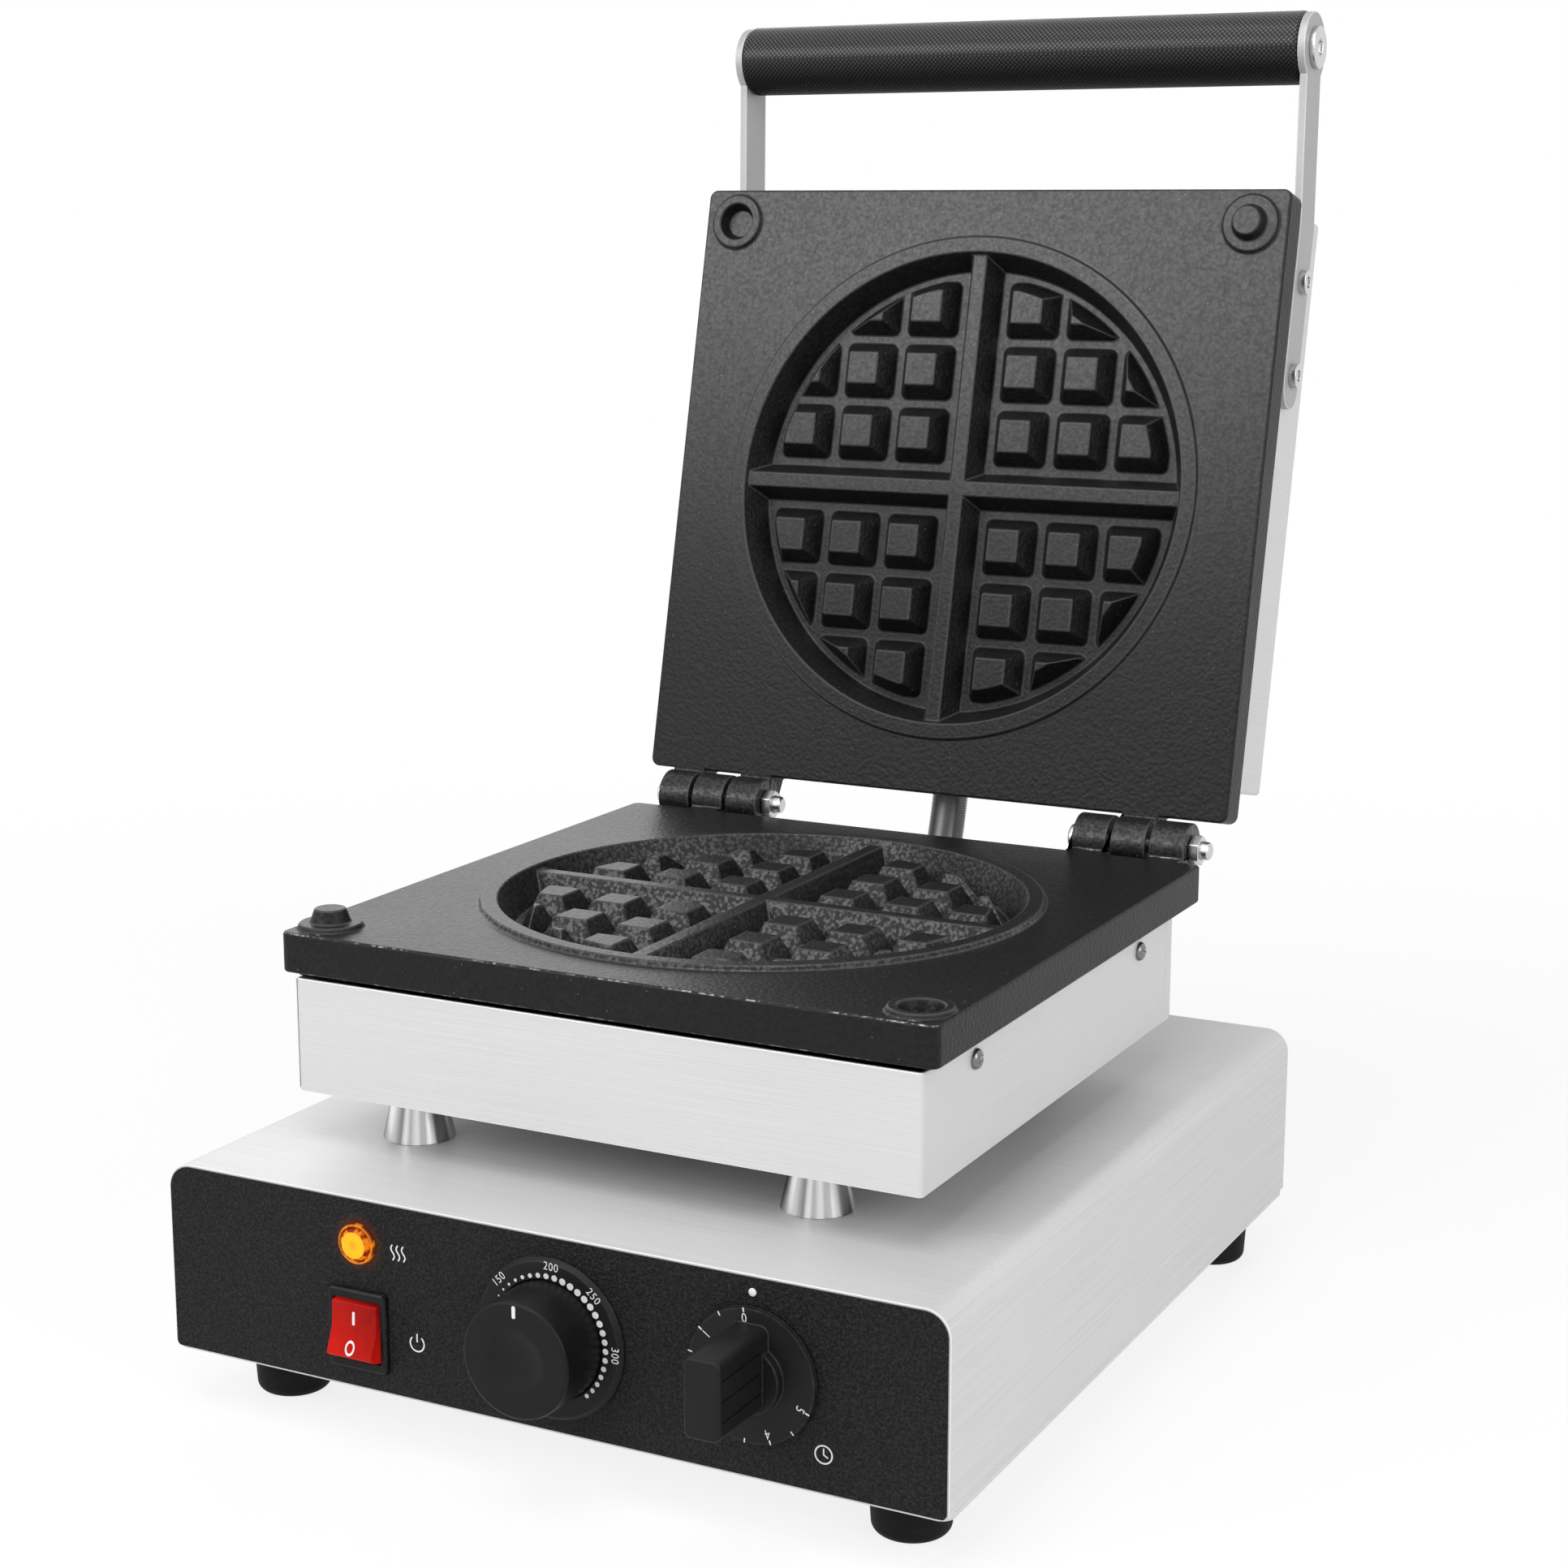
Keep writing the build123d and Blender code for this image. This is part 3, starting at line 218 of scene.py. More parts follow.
def steel_sheet(name, level, lean=0.0, metal=0.3, rough=0.38, fine=3400, streak=0.36):
    """Fine-brushed stainless sheet: grain along X, and along Y on the faces that look sideways.
    Rounded edges and bends carry a painted highlight.
    """
    f = Finish(name)
    turn = (lean, 0, 0)
    across = f.noise(f.place((9, fine, fine), turn), 1.0, 3.0, 0.6)
    along = f.noise(f.place((fine, 9, fine), turn), 1.0, 3.0, 0.6)
    sideways = abs(f.parts(f.node("ShaderNodeNewGeometry", out="Normal"))[0]).between(0.55, 0.8)
    grain = across * (1 - sideways) + along * sideways
    cloud = f.noise(f.place(), 9.0, 3.0)
    smear = f.noise(f.place(turn=turn, shift=(0.3, 0, 0)), 38.0, 4.0, 0.6).between(0.5, 0.75)
    shade = (grain - 0.5) * streak + (cloud - 0.5) * 0.10 + 0.5
    # Painted highlight: the rounded edges and bends are lightened towards a paler grey.
    fold = f.attribute("edge").between(0.3, 0.9)
    brushed = f.mix(shade, grey(level - 34), grey(level + 30))
    return f.done(
        Base_Color=f.mix(fold * 0.7, brushed, grey(level + 42)),
        Metallic=metal + grain * 0.1,
        Roughness=rough + grain * 0.12 + smear * 0.03,
        Normal=f.bump(grain, 0.00012, 0.8),
        Specular_IOR_Level=0.3,
    )


def cast_coat(name, lean, ring, knuckle, wear):
    """Black non-stick coat over a pebbled casting, rubbed bright along its front and rear edges.
    Edges in the pocket and on the bosses carry a painted highlight, the locating hole of the lower
    plate is painted shade, and the lid has a painted sheen that grows towards its top.

    The ring of the pocket and the knuckle axis are places in the frame that leans with the plate.
    """
    f = Finish(name)
    here = f.place(turn=(lean, 0, 0))
    x, y, z = f.parts(here)
    across = z - ring[2] if lean else y - ring[1]
    rise = ring[1] - y if lean else z - ring[2]
    outer = distance(x, across).between(*RING_EDGE)
    below = rise.between(0.0, 0.0005, 1.0, 0.0)
    border = abs(across).between(*BORDER_EDGE)
    barrel = distance(y - knuckle[0], z - knuckle[1]).between(*BARREL_EDGE, 1.0, 0.0)
    facing = f.node("ShaderNodeTexCoord", out="Normal")
    facing = f.node("ShaderNodeMapping", None, {"Vector": facing, "Rotation": (lean, 0, 0)})
    outward = abs(f.parts(facing)[1 if lean else 2])
    level = outward.between(0.75, 0.97)
    turned_edge = outward.between(0.45, 0.6) * outward.between(0.84, 0.93, 1.0, 0.0)
    pebble = f.cells(here, 600.0, "SMOOTH_F1").between(0.1, 0.75)
    ripple = f.noise(here, 680.0, 3.0, 0.65)
    cloud = f.noise(here, 14.0, 4.0, 0.55)
    specks = f.cells(here, 190.0).between(0.045, 0.07, 1.0, 0.0)
    chips = f.noise(here, 330.0, 4.0, 0.7).between(0.47, 0.60)
    stretch = f.noise(here, 60.0, 2.0).between(0.40, 0.60)
    rim = f.attribute("edge").between(0.55, 0.95)
    rub = rim.math("MAXIMUM", turned_edge) * chips * stretch * border * below * wear
    grit = (ripple.between(0.38, 0.66) * 0.7 + (1 - pebble) * 0.3) * (1 - outer * 0.45)
    coat = f.mix(grit, tone(8, 8, 8), tone(40, 40, 41))
    clouded = f.mix(cloud, coat, tone(19, 19, 20))
    # Painted highlight: the edges inside the pocket and on the bosses are lightened.
    shaded = f.mix(rim * (1 - outer * below) * 0.3, clouded, tone(92, 92, 93))
    if not lean:
        # Painted shade: the locating hole of the lower plate is painted near black, and its coat
        # is taken off.
        hole_shade = distance(x - HOLE[0], across - HOLE[1]).between(*HOLE_EDGE, 1.0, 0.0)
        shaded = f.mix(hole_shade * 0.95, shaded, tone(1, 1, 1))
        level = level * (1 - hole_shade)
    height = ripple * 0.7 - pebble * 0.5 + specks * 0.4
    grain = (1 - pebble) * 0.6 + ripple.between(0.36, 0.68) * 0.4
    # Painted sheen: on the lid the coat grows towards the top, standing in for the light falling
    # from above.
    upward = z.between(0.27, 0.50, 0.04, 0.80) if lean else 0.25
    walls = 0.0 if lean else (1 - level) * (1 - outer) * grain.between(0.3, 0.75) * 0.7
    sheen = level * upward * (0.4 + grain * 0.7 + cloud * 0.15) + walls
    return f.done(
        Base_Color=f.mix((rub + specks * 0.25).math("MINIMUM", 1.0), shaded, tone(165, 165, 165)),
        Metallic=rub * 0.7,
        Roughness=0.34 + cloud * 0.10 + ripple * 0.10 - rub * 0.1,
        Normal=f.bump(height, 0.0006, 0.42),
        Coat_Weight=(sheen + barrel * grain).math("MINIMUM", 1.0),
        Coat_Roughness=0.32,
        Coat_IOR=1.45,
        Specular_IOR_Level=0.2,
    )


def grained_film():
    """Black leather-grain film on the control panel, with a painted glow round the pilot lamp."""
    f = Finish("grained_film")
    here = f.place()
    x, _, z = f.parts(f.place(shift=lamp_middle))
    # Painted glow: the film round the pilot lamp glows faintly amber, standing in for the lamp's
    # light falling on it.
    painted_glow = distance(x, z).between(0.0065, 0.0145, 1.0, 0.0)
    grain = f.cells(f.place((1, 1, 1.25)), 1150.0, "SMOOTH_F1")
    fold = f.noise(here, 900.0, 4.0, 0.7, 0.6)
    cloud = f.noise(here, 25.0, 3.0)
    height = fold * 0.9 - grain * 0.5
    return f.done(
        Base_Color=f.mix(fold.between(0.43, 0.61), tone(2, 2, 2), tone(38, 38, 38)),
        Roughness=0.46 + cloud * 0.10 + fold * 0.12,
        Normal=f.bump(height, 0.0007, 0.95),
        Emission_Color=f.mix(painted_glow * painted_glow, (0, 0, 0, 1), tone(112, 48, 4)),
        Emission_Strength=0.4,
        Specular_IOR_Level=0.18,
    )


def satin_plastic(name, level=15, rough=0.36):
    """Moulded black plastic with a fine spark-eroded skin and lighter edges, a painted highlight.
    """
    f = Finish(name)
    here = f.place()
    skin = f.noise(here, 2600.0, 2.0, 0.6)
    cloud = f.noise(here, 60.0, 3.0)
    # Painted highlight: the rounded edges are lightened in patches.
    rub = f.attribute("edge").between(0.4, 1.0) * f.noise(here, 400.0, 3.0).between(0.35, 0.7)
    body = f.mix(cloud, grey(level - 5), grey(level + 6))
    return f.done(
        Base_Color=f.mix(rub * 0.3, body, grey(level + 45)),
        Roughness=rough + skin * 0.12 + cloud * 0.06,
        Normal=f.bump(skin, 0.00004, 0.5),
        Specular_IOR_Level=0.19,
    )


def knurled_plastic():
    """Black grip sleeve with a fine diamond knurl that follows its turns, lighter and glossier
    along its upper side as a painted highlight.
    """
    f = Finish("knurled_plastic")
    x, y, z = f.parts(f.place(shift=(0, -GRIP_AXIS[0] * MM, -GRIP_AXIS[1] * MM)))
    turn = z.math("ARCTAN2", y) * KNURL_RADIUS
    slant = ((x + turn) * (2 * pi / KNURL_PITCH)).math("SINE")
    other = ((x - turn) * (2 * pi / KNURL_PITCH)).math("SINE")
    diamond = abs(slant).math("MINIMUM", abs(other))
    # Painted highlight: the crests are lighter, and the coat stronger, on the upper side of the
    # grip.
    upper = z.between(-0.013, 0.009)
    crest = diamond.between(0.1, 0.8) * (upper * 0.85 + 0.15)
    cloud = f.noise(f.place(), 40.0, 3.0)
    return f.done(
        Base_Color=f.mix(crest, tone(6, 6, 6), tone(72, 72, 72)),
        Roughness=0.38 + cloud * 0.12 - diamond * 0.08,
        Normal=f.bump(diamond, 0.0005, 0.9),
        Coat_Weight=upper * (0.25 + diamond * 0.9),
        Coat_Roughness=0.3,
        Coat_IOR=1.4,
        Specular_IOR_Level=0.05,
    )


def moulded_rubber():
    """Matt black rubber, a little dusty."""
    f = Finish("moulded_rubber")
    here = f.place()
    skin = f.noise(here, 900.0, 4.0, 0.6)
    dust = f.noise(here, 120.0, 4.0).between(0.5, 0.8)
    return f.done(
        Base_Color=f.mix(dust * 0.5, tone(15, 15, 15), tone(40, 39, 38)),
        Roughness=0.55 + skin * 0.2,
        Normal=f.bump(skin, 0.0001, 0.4),
        Specular_IOR_Level=0.15,
    )


def bright_metal(name, level, rough):
    """Plated or turned metal with faint tool marks."""
    f = Finish(name)
    here = f.place()
    marks = f.noise(f.place((1, 1, 9)), 900.0, 3.0, 0.6)
    cloud = f.noise(here, 120.0, 3.0)
    return f.done(
        Base_Color=f.mix(marks, grey(level - 22), grey(level + 16)),
        Metallic=1.0,
        Roughness=rough + marks * 0.08 + cloud * 0.06,
        Normal=f.bump(marks, 0.00003, 0.4),
    )


def polished_cone():
    """Polished turned metal with a painted reflection: light and dark bands round its axis, set by
    which way each face turns, stand in for a bright and dark room mirrored in it.
    """
    f = Finish("polished_cone")
    x, y, _ = f.parts(f.node("ShaderNodeNewGeometry", out="Normal"))
    angle = y.math("ARCTAN2", x)
    # Painted reflection: the base colour follows the direction each face turns round the axis.
    painted_reflection = f.node(
        "ShaderNodeTexNoise",
        {"noise_dimensions": "1D"},
        {"W": angle * 1.7, "Scale": 1.0, "Detail": 1.5, "Roughness": 0.5},
        "Fac",
    ).between(0.36, 0.62)
    marks = f.noise(f.place((1, 1, 12)), 1500.0, 3.0, 0.6)
    return f.done(
        Base_Color=f.mix(painted_reflection, grey(92), grey(236)),
        Metallic=1.0,
        Roughness=0.14 + marks * 0.1,
        Normal=f.bump(marks, 0.00002, 0.4),
    )


def lit_lens():
    """Amber lens lit from behind, with a pressed diamond pattern and a hot middle."""
    f = Finish("lit_lens")
    x, _, z = f.parts(f.place(shift=lamp_middle))
    reach = distance(x, z)
    slant = ((x + z) * (2 * pi / FACET_PITCH)).math("SINE")
    other = ((x - z) * (2 * pi / FACET_PITCH)).math("SINE")
    facets = (slant * other).between(-0.8, 0.8)
    spot = reach.between(0.0004, 0.0026, 1.0, 0.0)
    wall = reach.between(0.0049, 0.0054)
    streak = f.noise(f.place((1, 0.2, 1)), 420.0, 2.0).between(0.42, 0.58)
    face = f.mix(facets, tone(244, 150, 4), tone(255, 214, 34))
    warm = f.mix(spot * 0.6, face, tone(246, 128, 6))
    side = f.mix(streak, tone(104, 26, 0), tone(252, 138, 10))
    return f.done(
        Base_Color=f.mix(wall, tone(196, 110, 6), tone(90, 30, 2)),
        Roughness=0.2 + facets * 0.06,
        Normal=f.bump(facets, 0.0002, 0.6),
        Emission_Color=f.mix(wall, warm, side),
        Emission_Strength=0.82,
        Specular_IOR_Level=0.15,
    )


def amber_rim():
    """Amber moulded rim of the lamp, lit in patches through the lens."""
    f = Finish("amber_rim")
    x, _, z = f.parts(f.place(shift=lamp_middle))
    reach = distance(x, z)
    patch = f.noise(f.place((1, 0.3, 1)), 330.0, 3.0).between(0.44, 0.6)
    crest = reach.between(0.0068, 0.0074) * reach.between(0.0074, 0.008, 1.0, 0.0)
    glow = (patch * 0.6 + crest).math("MINIMUM", 1.0)
    return f.done(
        Base_Color=f.mix(patch, tone(58, 18, 2), tone(120, 54, 6)),
        Roughness=0.2 + patch * 0.1,
        Emission_Color=f.mix(glow, tone(92, 26, 0), tone(250, 140, 14)),
        Emission_Strength=0.75,
        Specular_IOR_Level=0.2,
    )


def lit_rocker():
    """Red see-through rocker lit from behind, brighter along its lower left."""
    f = Finish("lit_rocker")
    x, _, z = f.parts(f.place(shift=(-SWITCH[0] * MM, 0, -SWITCH[1] * MM)))
    cloud = f.noise(f.place(), 260.0, 3.0)
    weave = f.noise(f.place(), 1500.0, 2.0)
    low = z.between(-0.013, 0.012, 1.0, 0.0)
    left = x.between(-0.0095, 0.0095, 1.0, 0.0)
    glow = low * 0.4 + left * 0.35 + cloud * 0.2 + (weave - 0.5) * 0.3
    return f.done(
        Base_Color=f.mix(cloud, tone(96, 5, 3), tone(132, 10, 6)),
        Roughness=0.2 + weave * 0.08,
        Normal=f.bump(weave, 0.00005, 0.5),
        Emission_Color=f.mix(glow, tone(96, 3, 2), tone(232, 36, 18)),
        Emission_Strength=0.62,
        Specular_IOR_Level=0.09,
    )


def printed_white():
    """White screen print, a little uneven."""
    f = Finish("printed_white")
    ink = f.noise(f.place(), 1500.0, 3.0)
    return f.done(
        Base_Color=f.mix(ink, grey(208), grey(232)),
        Roughness=0.5 + ink * 0.1,
    )


def dark_moulding():
    """Dark moulded bodies behind the panel."""
    f = Finish("dark_moulding")
    skin = f.noise(f.place(), 800.0, 3.0)
    return f.done(
        Base_Color=f.mix(skin, tone(38, 38, 40), tone(56, 56, 58)),
        Roughness=0.5 + skin * 0.15,
        Normal=f.bump(skin, 0.0001, 0.3),
    )


def tinted_steel():
    """Heater steel, straw to brown from the heat."""
    f = Finish("tinted_steel")
    here = f.place()
    heat = f.noise(here, 30.0, 4.0)
    marks = f.noise(here, 700.0, 3.0)
    return f.done(
        Base_Color=f.mix(heat.between(0.35, 0.65), tone(150, 138, 120), tone(108, 92, 78)),
        Metallic=1.0,
        Roughness=0.35 + marks * 0.2,
        Normal=f.bump(marks, 0.00005, 0.4),
    )


def wool_felt():
    """Pale mineral wool with a loose fibre grain."""
    f = Finish("wool_felt")
    fibre = f.noise(f.place((300, 2400, 2400)), 1.0, 4.0, 0.7, 1.2)
    return f.done(
        Base_Color=f.mix(fibre, tone(168, 158, 130), tone(216, 208, 184)),
        Roughness=0.9 - fibre * 0.1,
        Normal=f.bump(fibre, 0.0008, 0.8),
    )


sheet_steel = steel_sheet("sheet_steel", 209)
cover_steel = steel_sheet("cover_steel", 205, 0.0, 0.22, 0.40, 1700, 0.5)
lid_steel = steel_sheet("lid_steel", 209, LID_LEAN)
lower_coat = cast_coat("lower_coat", 0.0, (0, -0.006, 0.1853), (0.147, 0.18755), 0.9)
lid_coat = cast_coat("lid_coat", LID_LEAN, (0, 0.1033, 0.3688), (0.10105, 0.21581), 0.12)
plated = bright_metal("plated_steel", 206, 0.2)
turned = polished_cone()
hose_metal = bright_metal("hose_metal", 90, 0.3)
screw_steel = bright_metal("screw_steel", 128, 0.18)
arm_steel = steel_sheet("arm_steel", 168, LID_LEAN)
knob_black = satin_plastic("knob_black")
timer_black = satin_plastic("timer_black", 20, 0.4)
bezel_black = satin_plastic("bezel_black", 14, 0.3)
print_white = printed_white()
finish_of_slot = {
    "brushed_steel": sheet_steel,
    "black_casting": lower_coat,
    "panel_film": grained_film(),
    "foot_rubber": moulded_rubber(),
    "turned_aluminium": turned,
    "fastener_steel": plated,
    "hose_steel": hose_metal,
    "grip_plastic": knurled_plastic(),
    "knob_plastic": knob_black,
    "lamp_bezel": amber_rim(),
    "lamp_orange": lit_lens(),
    "rocker_red": lit_rocker(),
    "control_body": dark_moulding(),
    "heater_steel": tinted_steel(),
    "mineral_wool": wool_felt(),
}
slot_of = {part["node"]: part["material_slot"] for part in frame["record"]["subparts"]}
body_of = {n: b for b, members in frame["record"]["behaviour"]["bodies"].items() for n in members}
finish_of = {name: finish_of_slot[slot] for name, slot in slot_of.items()}
finish_of.update(
    upper_casing=lid_steel,
    arm_left=arm_steel,
    arm_right=arm_steel,
    upper_plate=lid_coat,
    switch_body=bezel_black,
    base_cover=cover_steel,
    timer_knob=timer_black,
    thermostat_dial=timer_black,
)
for name, node in nodes.items():
    node.data.materials.clear()
    node.data.materials.append(finish_of[name])


# Pieces: rounded copies of the solids, and what the solids leave out
def finished(shape, name, smooth=True):
    """Write a bmesh to a new mesh, smooth or flat."""
    for face in shape.faces:
        face.smooth = smooth
    mesh = bpy.data.meshes.new(name)
    shape.to_mesh(mesh)
    shape.free()
    return mesh


def show(name, shape, finish, body, stands_for=(), smooth=True):
    """Make a piece of a bmesh that rides on a body."""
    mesh = finished(shape, name, smooth)
    piece = bpy.data.objects.new(name, mesh)
    scene.collection.objects.link(piece)
    mesh.materials.append(finish)
    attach(piece, body)
    if stands_for:
        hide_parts(*stands_for)
    return piece


def even_light(piece):
    """Keep flat faces flat under smooth shading."""
    weighted = piece.modifiers.new("even_light", "WEIGHTED_NORMAL")
    weighted.mode = "FACE_AREA"
    weighted.weight = 100
    weighted.keep_sharp = True


SHARP_ANGLE = radians(32)


def rounded(node, width):
    """A copy of a solid with its sharp edges rounded. The rounded strips carry edge = 1."""
    shape = bmesh.new()
    shape.from_mesh(nodes[node].data)
    bmesh.ops.remove_doubles(shape, verts=shape.verts, dist=0.002 * MM)
    bmesh.ops.dissolve_limit(
        shape, angle_limit=radians(0.4), verts=shape.verts[:], edges=shape.edges[:]
    )
    rub = shape.faces.layers.float.new("edge")
    sharp = [
        edge
        for edge in shape.edges
        if len(edge.link_faces) == 2 and edge.calc_face_angle() > SHARP_ANGLE
    ]
    strips = bmesh.ops.bevel(
        shape,
        geom=sharp,
        offset=width * MM,
        offset_type="OFFSET",
        segments=2,
        profile=0.5,
        affect="EDGES",
        clamp_overlap=False,
        material=-1,
    )
    for face in strips["faces"]:
        face[rub] = 1.0
    piece = show(
        node + "_shape", shape, finish_of[node], body_of[node], (node,)
    )
    even_light(piece)
    return piece


rounding = {
    "base_cover": 0.25,
    "lower_plate": 0.7,
    "upper_plate": 0.7,
    "lower_casing": 0.5,
    "upper_casing": 0.5,
    "arm_left": 0.4,
    "arm_right": 0.4,
    "thermostat_dial": 0.3,
    "timer_knob": 0.6,
    "switch_body": 0.4,
    "power_rocker": 0.5,
    "foot_front_left": 0.5,
    "foot_front_right": 0.5,
    "foot_rear_left": 0.5,
    "foot_rear_right": 0.5,
    "spacer_front_left": 0.3,
    "spacer_front_right": 0.3,
    "spacer_rear_left": 0.3,
    "spacer_rear_right": 0.3,
    "arm_screws": 0.4,
    "handle_bolts": 0.5,
    "hinge_bolts": 0.4,
    "hinge_nuts": 0.4,
    "cable_gland": 0.4,
    "hose_gland_lower": 0.4,
    "hose_gland_upper": 0.4,
}
shapes = {node: rounded(node, width) for node, width in rounding.items()}


# Placing and joining small shapes
IN_FRONT = -300.0
FIGURE_SHARE = 0.7
STROKE_RISE = 0.12


def on_front(x, z, clockwise=0.0, y=IN_FRONT):
    """A place on the front of the base, in millimetres: right, up, and turned clockwise."""
    facing = Matrix(((1, 0, 0), (0, 0, -1), (0, 1, 0))).to_4x4()
    spin = Matrix.Rotation(-radians(clockwise), 4, "Z")
    return Matrix.Translation((x * MM, y * MM, z * MM)) @ facing @ spin


def on_dial(centre, angle, reach):
    """A place on a round dial, at an angle clockwise from its top and a reach from its middle."""
    way = radians(angle)
    return on_front(centre[0] + reach * sin(way), centre[1] + reach * cos(way), angle)


def scaled(width, height, depth=1.0):
    """A scale in millimetres."""
    return Matrix.Diagonal((width * MM, height * MM, depth * MM, 1))


def meshed(curve):
    """The mesh of a curve or text, flat in its own place."""
    holder = bpy.data.objects.new("drawn", curve)
    scene.collection.objects.link(holder)
    bpy.context.view_layer.update()
    mesh = bpy.data.meshes.new_from_object(
        holder.evaluated_get(bpy.context.evaluated_depsgraph_get())
    )
    bpy.data.objects.remove(holder)
    return mesh


def join(shape, mesh, place):
    """Add a mesh to a bmesh at a place."""
    mesh.transform(place)
    shape.from_mesh(mesh)
    bpy.data.meshes.remove(mesh)


def figures(shape, text, place, height, narrow):
    """Add flat figures to a bmesh, of a height in millimetres and narrowed by a share."""
    size = height / FIGURE_SHARE
    script = bpy.data.curves.new("figures", "FONT")
    script.body = text
    script.align_x = "CENTER"
    script.align_y = "CENTER"
    script.size = 1.0
    script.resolution_u = 5
    script.space_character = 1.12
    join(shape, meshed(script), place @ scaled(size * narrow, size))


def stroke(shape, lines, width, place):
    """Add raised flat lines, given as lists of points in millimetres, to a bmesh."""
    drawn = bpy.data.curves.new("stroke", "CURVE")
    drawn.dimensions = "3D"
    drawn.bevel_depth = width / 2
    drawn.bevel_resolution = 2
    drawn.use_fill_caps = True
    for points in lines:
        line = drawn.splines.new("POLY")
        line.points.add(len(points) - 1)
        for knot, (x, y) in zip(line.points, points):
            knot.co = (x, y, 0, 1)
    join(shape, meshed(drawn), place @ scaled(1, 1, STROKE_RISE))


def disc(shape, place, radius, segments=20):
    """Add a flat disc to a bmesh."""
    bmesh.ops.create_circle(
        shape, cap_ends=True, segments=segments, radius=radius * MM, matrix=place
    )


def dash(shape, place, width, length, corner=0.0):
    """Add a flat bar to a bmesh, with round corners if they are given."""
    bar = bmesh.ops.create_grid(
        shape, x_segments=1, y_segments=1, size=0.5, matrix=place @ scaled(width, length)
    )
    if corner:
        bmesh.ops.bevel(
            shape,
            geom=bar["verts"],
            offset=corner * MM,
            segments=5,
            profile=0.5,
            affect="VERTICES",
            material=-1,
        )


def laid_flat(shape, y):
    """Bring flat marks to one depth, in millimetres."""
    for vertex in shape.verts:
        vertex.co.y = y * MM


def laid_on(shape, carrier, lift):
    """Bring flat marks back from the viewer until they lie on a piece."""
    bpy.context.view_layer.update()
    surface = BVHTree.FromObject(carrier, bpy.context.evaluated_depsgraph_get())
    for vertex in shape.verts:
        start = Vector((vertex.co.x, IN_FRONT * MM, vertex.co.z))
        vertex.co.y = surface.ray_cast(start, Vector((0, 1, 0)))[0].y - lift * MM


def turned_shape(outline, place, segments=64):
    """A bmesh spun from an outline of (radius, height) in millimetres round its own Z."""
    shape = bmesh.new()
    verts = [shape.verts.new((radius * MM, 0, height * MM)) for radius, height in outline]
    edges = [shape.edges.new(pair) for pair in zip(verts, verts[1:])]
    bmesh.ops.spin(
        shape,
        geom=verts + edges,
        axis=(0, 0, 1),
        cent=(0, 0, 0),
        angle=2 * pi,
        steps=segments,
        use_merge=True,
    )
    bmesh.ops.remove_doubles(shape, verts=shape.verts, dist=0.001 * MM)
    bmesh.ops.recalc_face_normals(shape, faces=shape.faces)
    bmesh.ops.transform(shape, matrix=place, verts=shape.verts)
    return shape


def block(shape, place, width, height, depth):
    """Add a box to a bmesh, in millimetres."""
    bmesh.ops.create_cube(shape, size=1.0, matrix=place @ scaled(width, height, depth))


def carved(mesh, cutter, name):
    """The mesh with a cutter's shape taken out of it."""
    body = bpy.data.objects.new("carved", mesh)
    tool = bpy.data.objects.new("cutter", cutter)
    for holder in (body, tool):
        scene.collection.objects.link(holder)
    cut = body.modifiers.new("cut", "BOOLEAN")
    cut.operation = "DIFFERENCE"
    cut.solver = "EXACT"
    cut.object = tool
    bpy.context.view_layer.update()
    result = bpy.data.meshes.new_from_object(
        body.evaluated_get(bpy.context.evaluated_depsgraph_get())
    )
    result.name = name
    bpy.data.objects.remove(tool)
    bpy.data.objects.remove(body)
    return result


# Thermostat: scale on the dial ring, pointer on the knob
FIRST_DOT = -57
DOT_STEP = 195 / 24
DOT_REACH = 24.5
DEGREES_REACH = 28.3
KNOB_OUTLINE = (
    (3.1, 0.5), (22.3, 0.5), (22.6, 0.8), (22.2, 23.1), (21.95, 23.9), (21.4, 24.35),
    (20.6, 24.5), (12.4, 24.5), (11.4, 24.38), (10.0, 23.95), (8.0, 23.35), (5.5, 22.95),
    (2.6, 22.75), (0.0, 22.7),
)
scale_marks = bmesh.new()
for index in range(25):
    grown = min(1.0, 0.25 + index * 0.08, 1.0 - (index - 14) * 0.035)
    place = on_dial(THERMOSTAT, FIRST_DOT + index * DOT_STEP, DOT_REACH)
    disc(scale_marks, place, 1.35 * grown)
for angle, text in ((-46, "150"), (4, "200"), (44, "250"), (91, "300")):
    figures(scale_marks, text, on_dial(THERMOSTAT, angle, DEGREES_REACH), 3.1, 0.88)
laid_flat(scale_marks, DIAL_MARKS)
show("dial_scale", scale_marks, print_white, "base", smooth=False)

knob = turned_shape(KNOB_OUTLINE, on_front(*THERMOSTAT, 0, PANEL_FACE), 96)
even_light(
    show("dished_knob", knob, knob_black, "thermostat", ("thermostat_knob",))
)
pointer = bmesh.new()
dash(pointer, on_dial(THERMOSTAT, 0, 18.6), 1.5, 4.8, 0.7)
laid_flat(pointer, KNOB_MARKS)
show("knob_pointer", pointer, print_white, "thermostat", smooth=False)

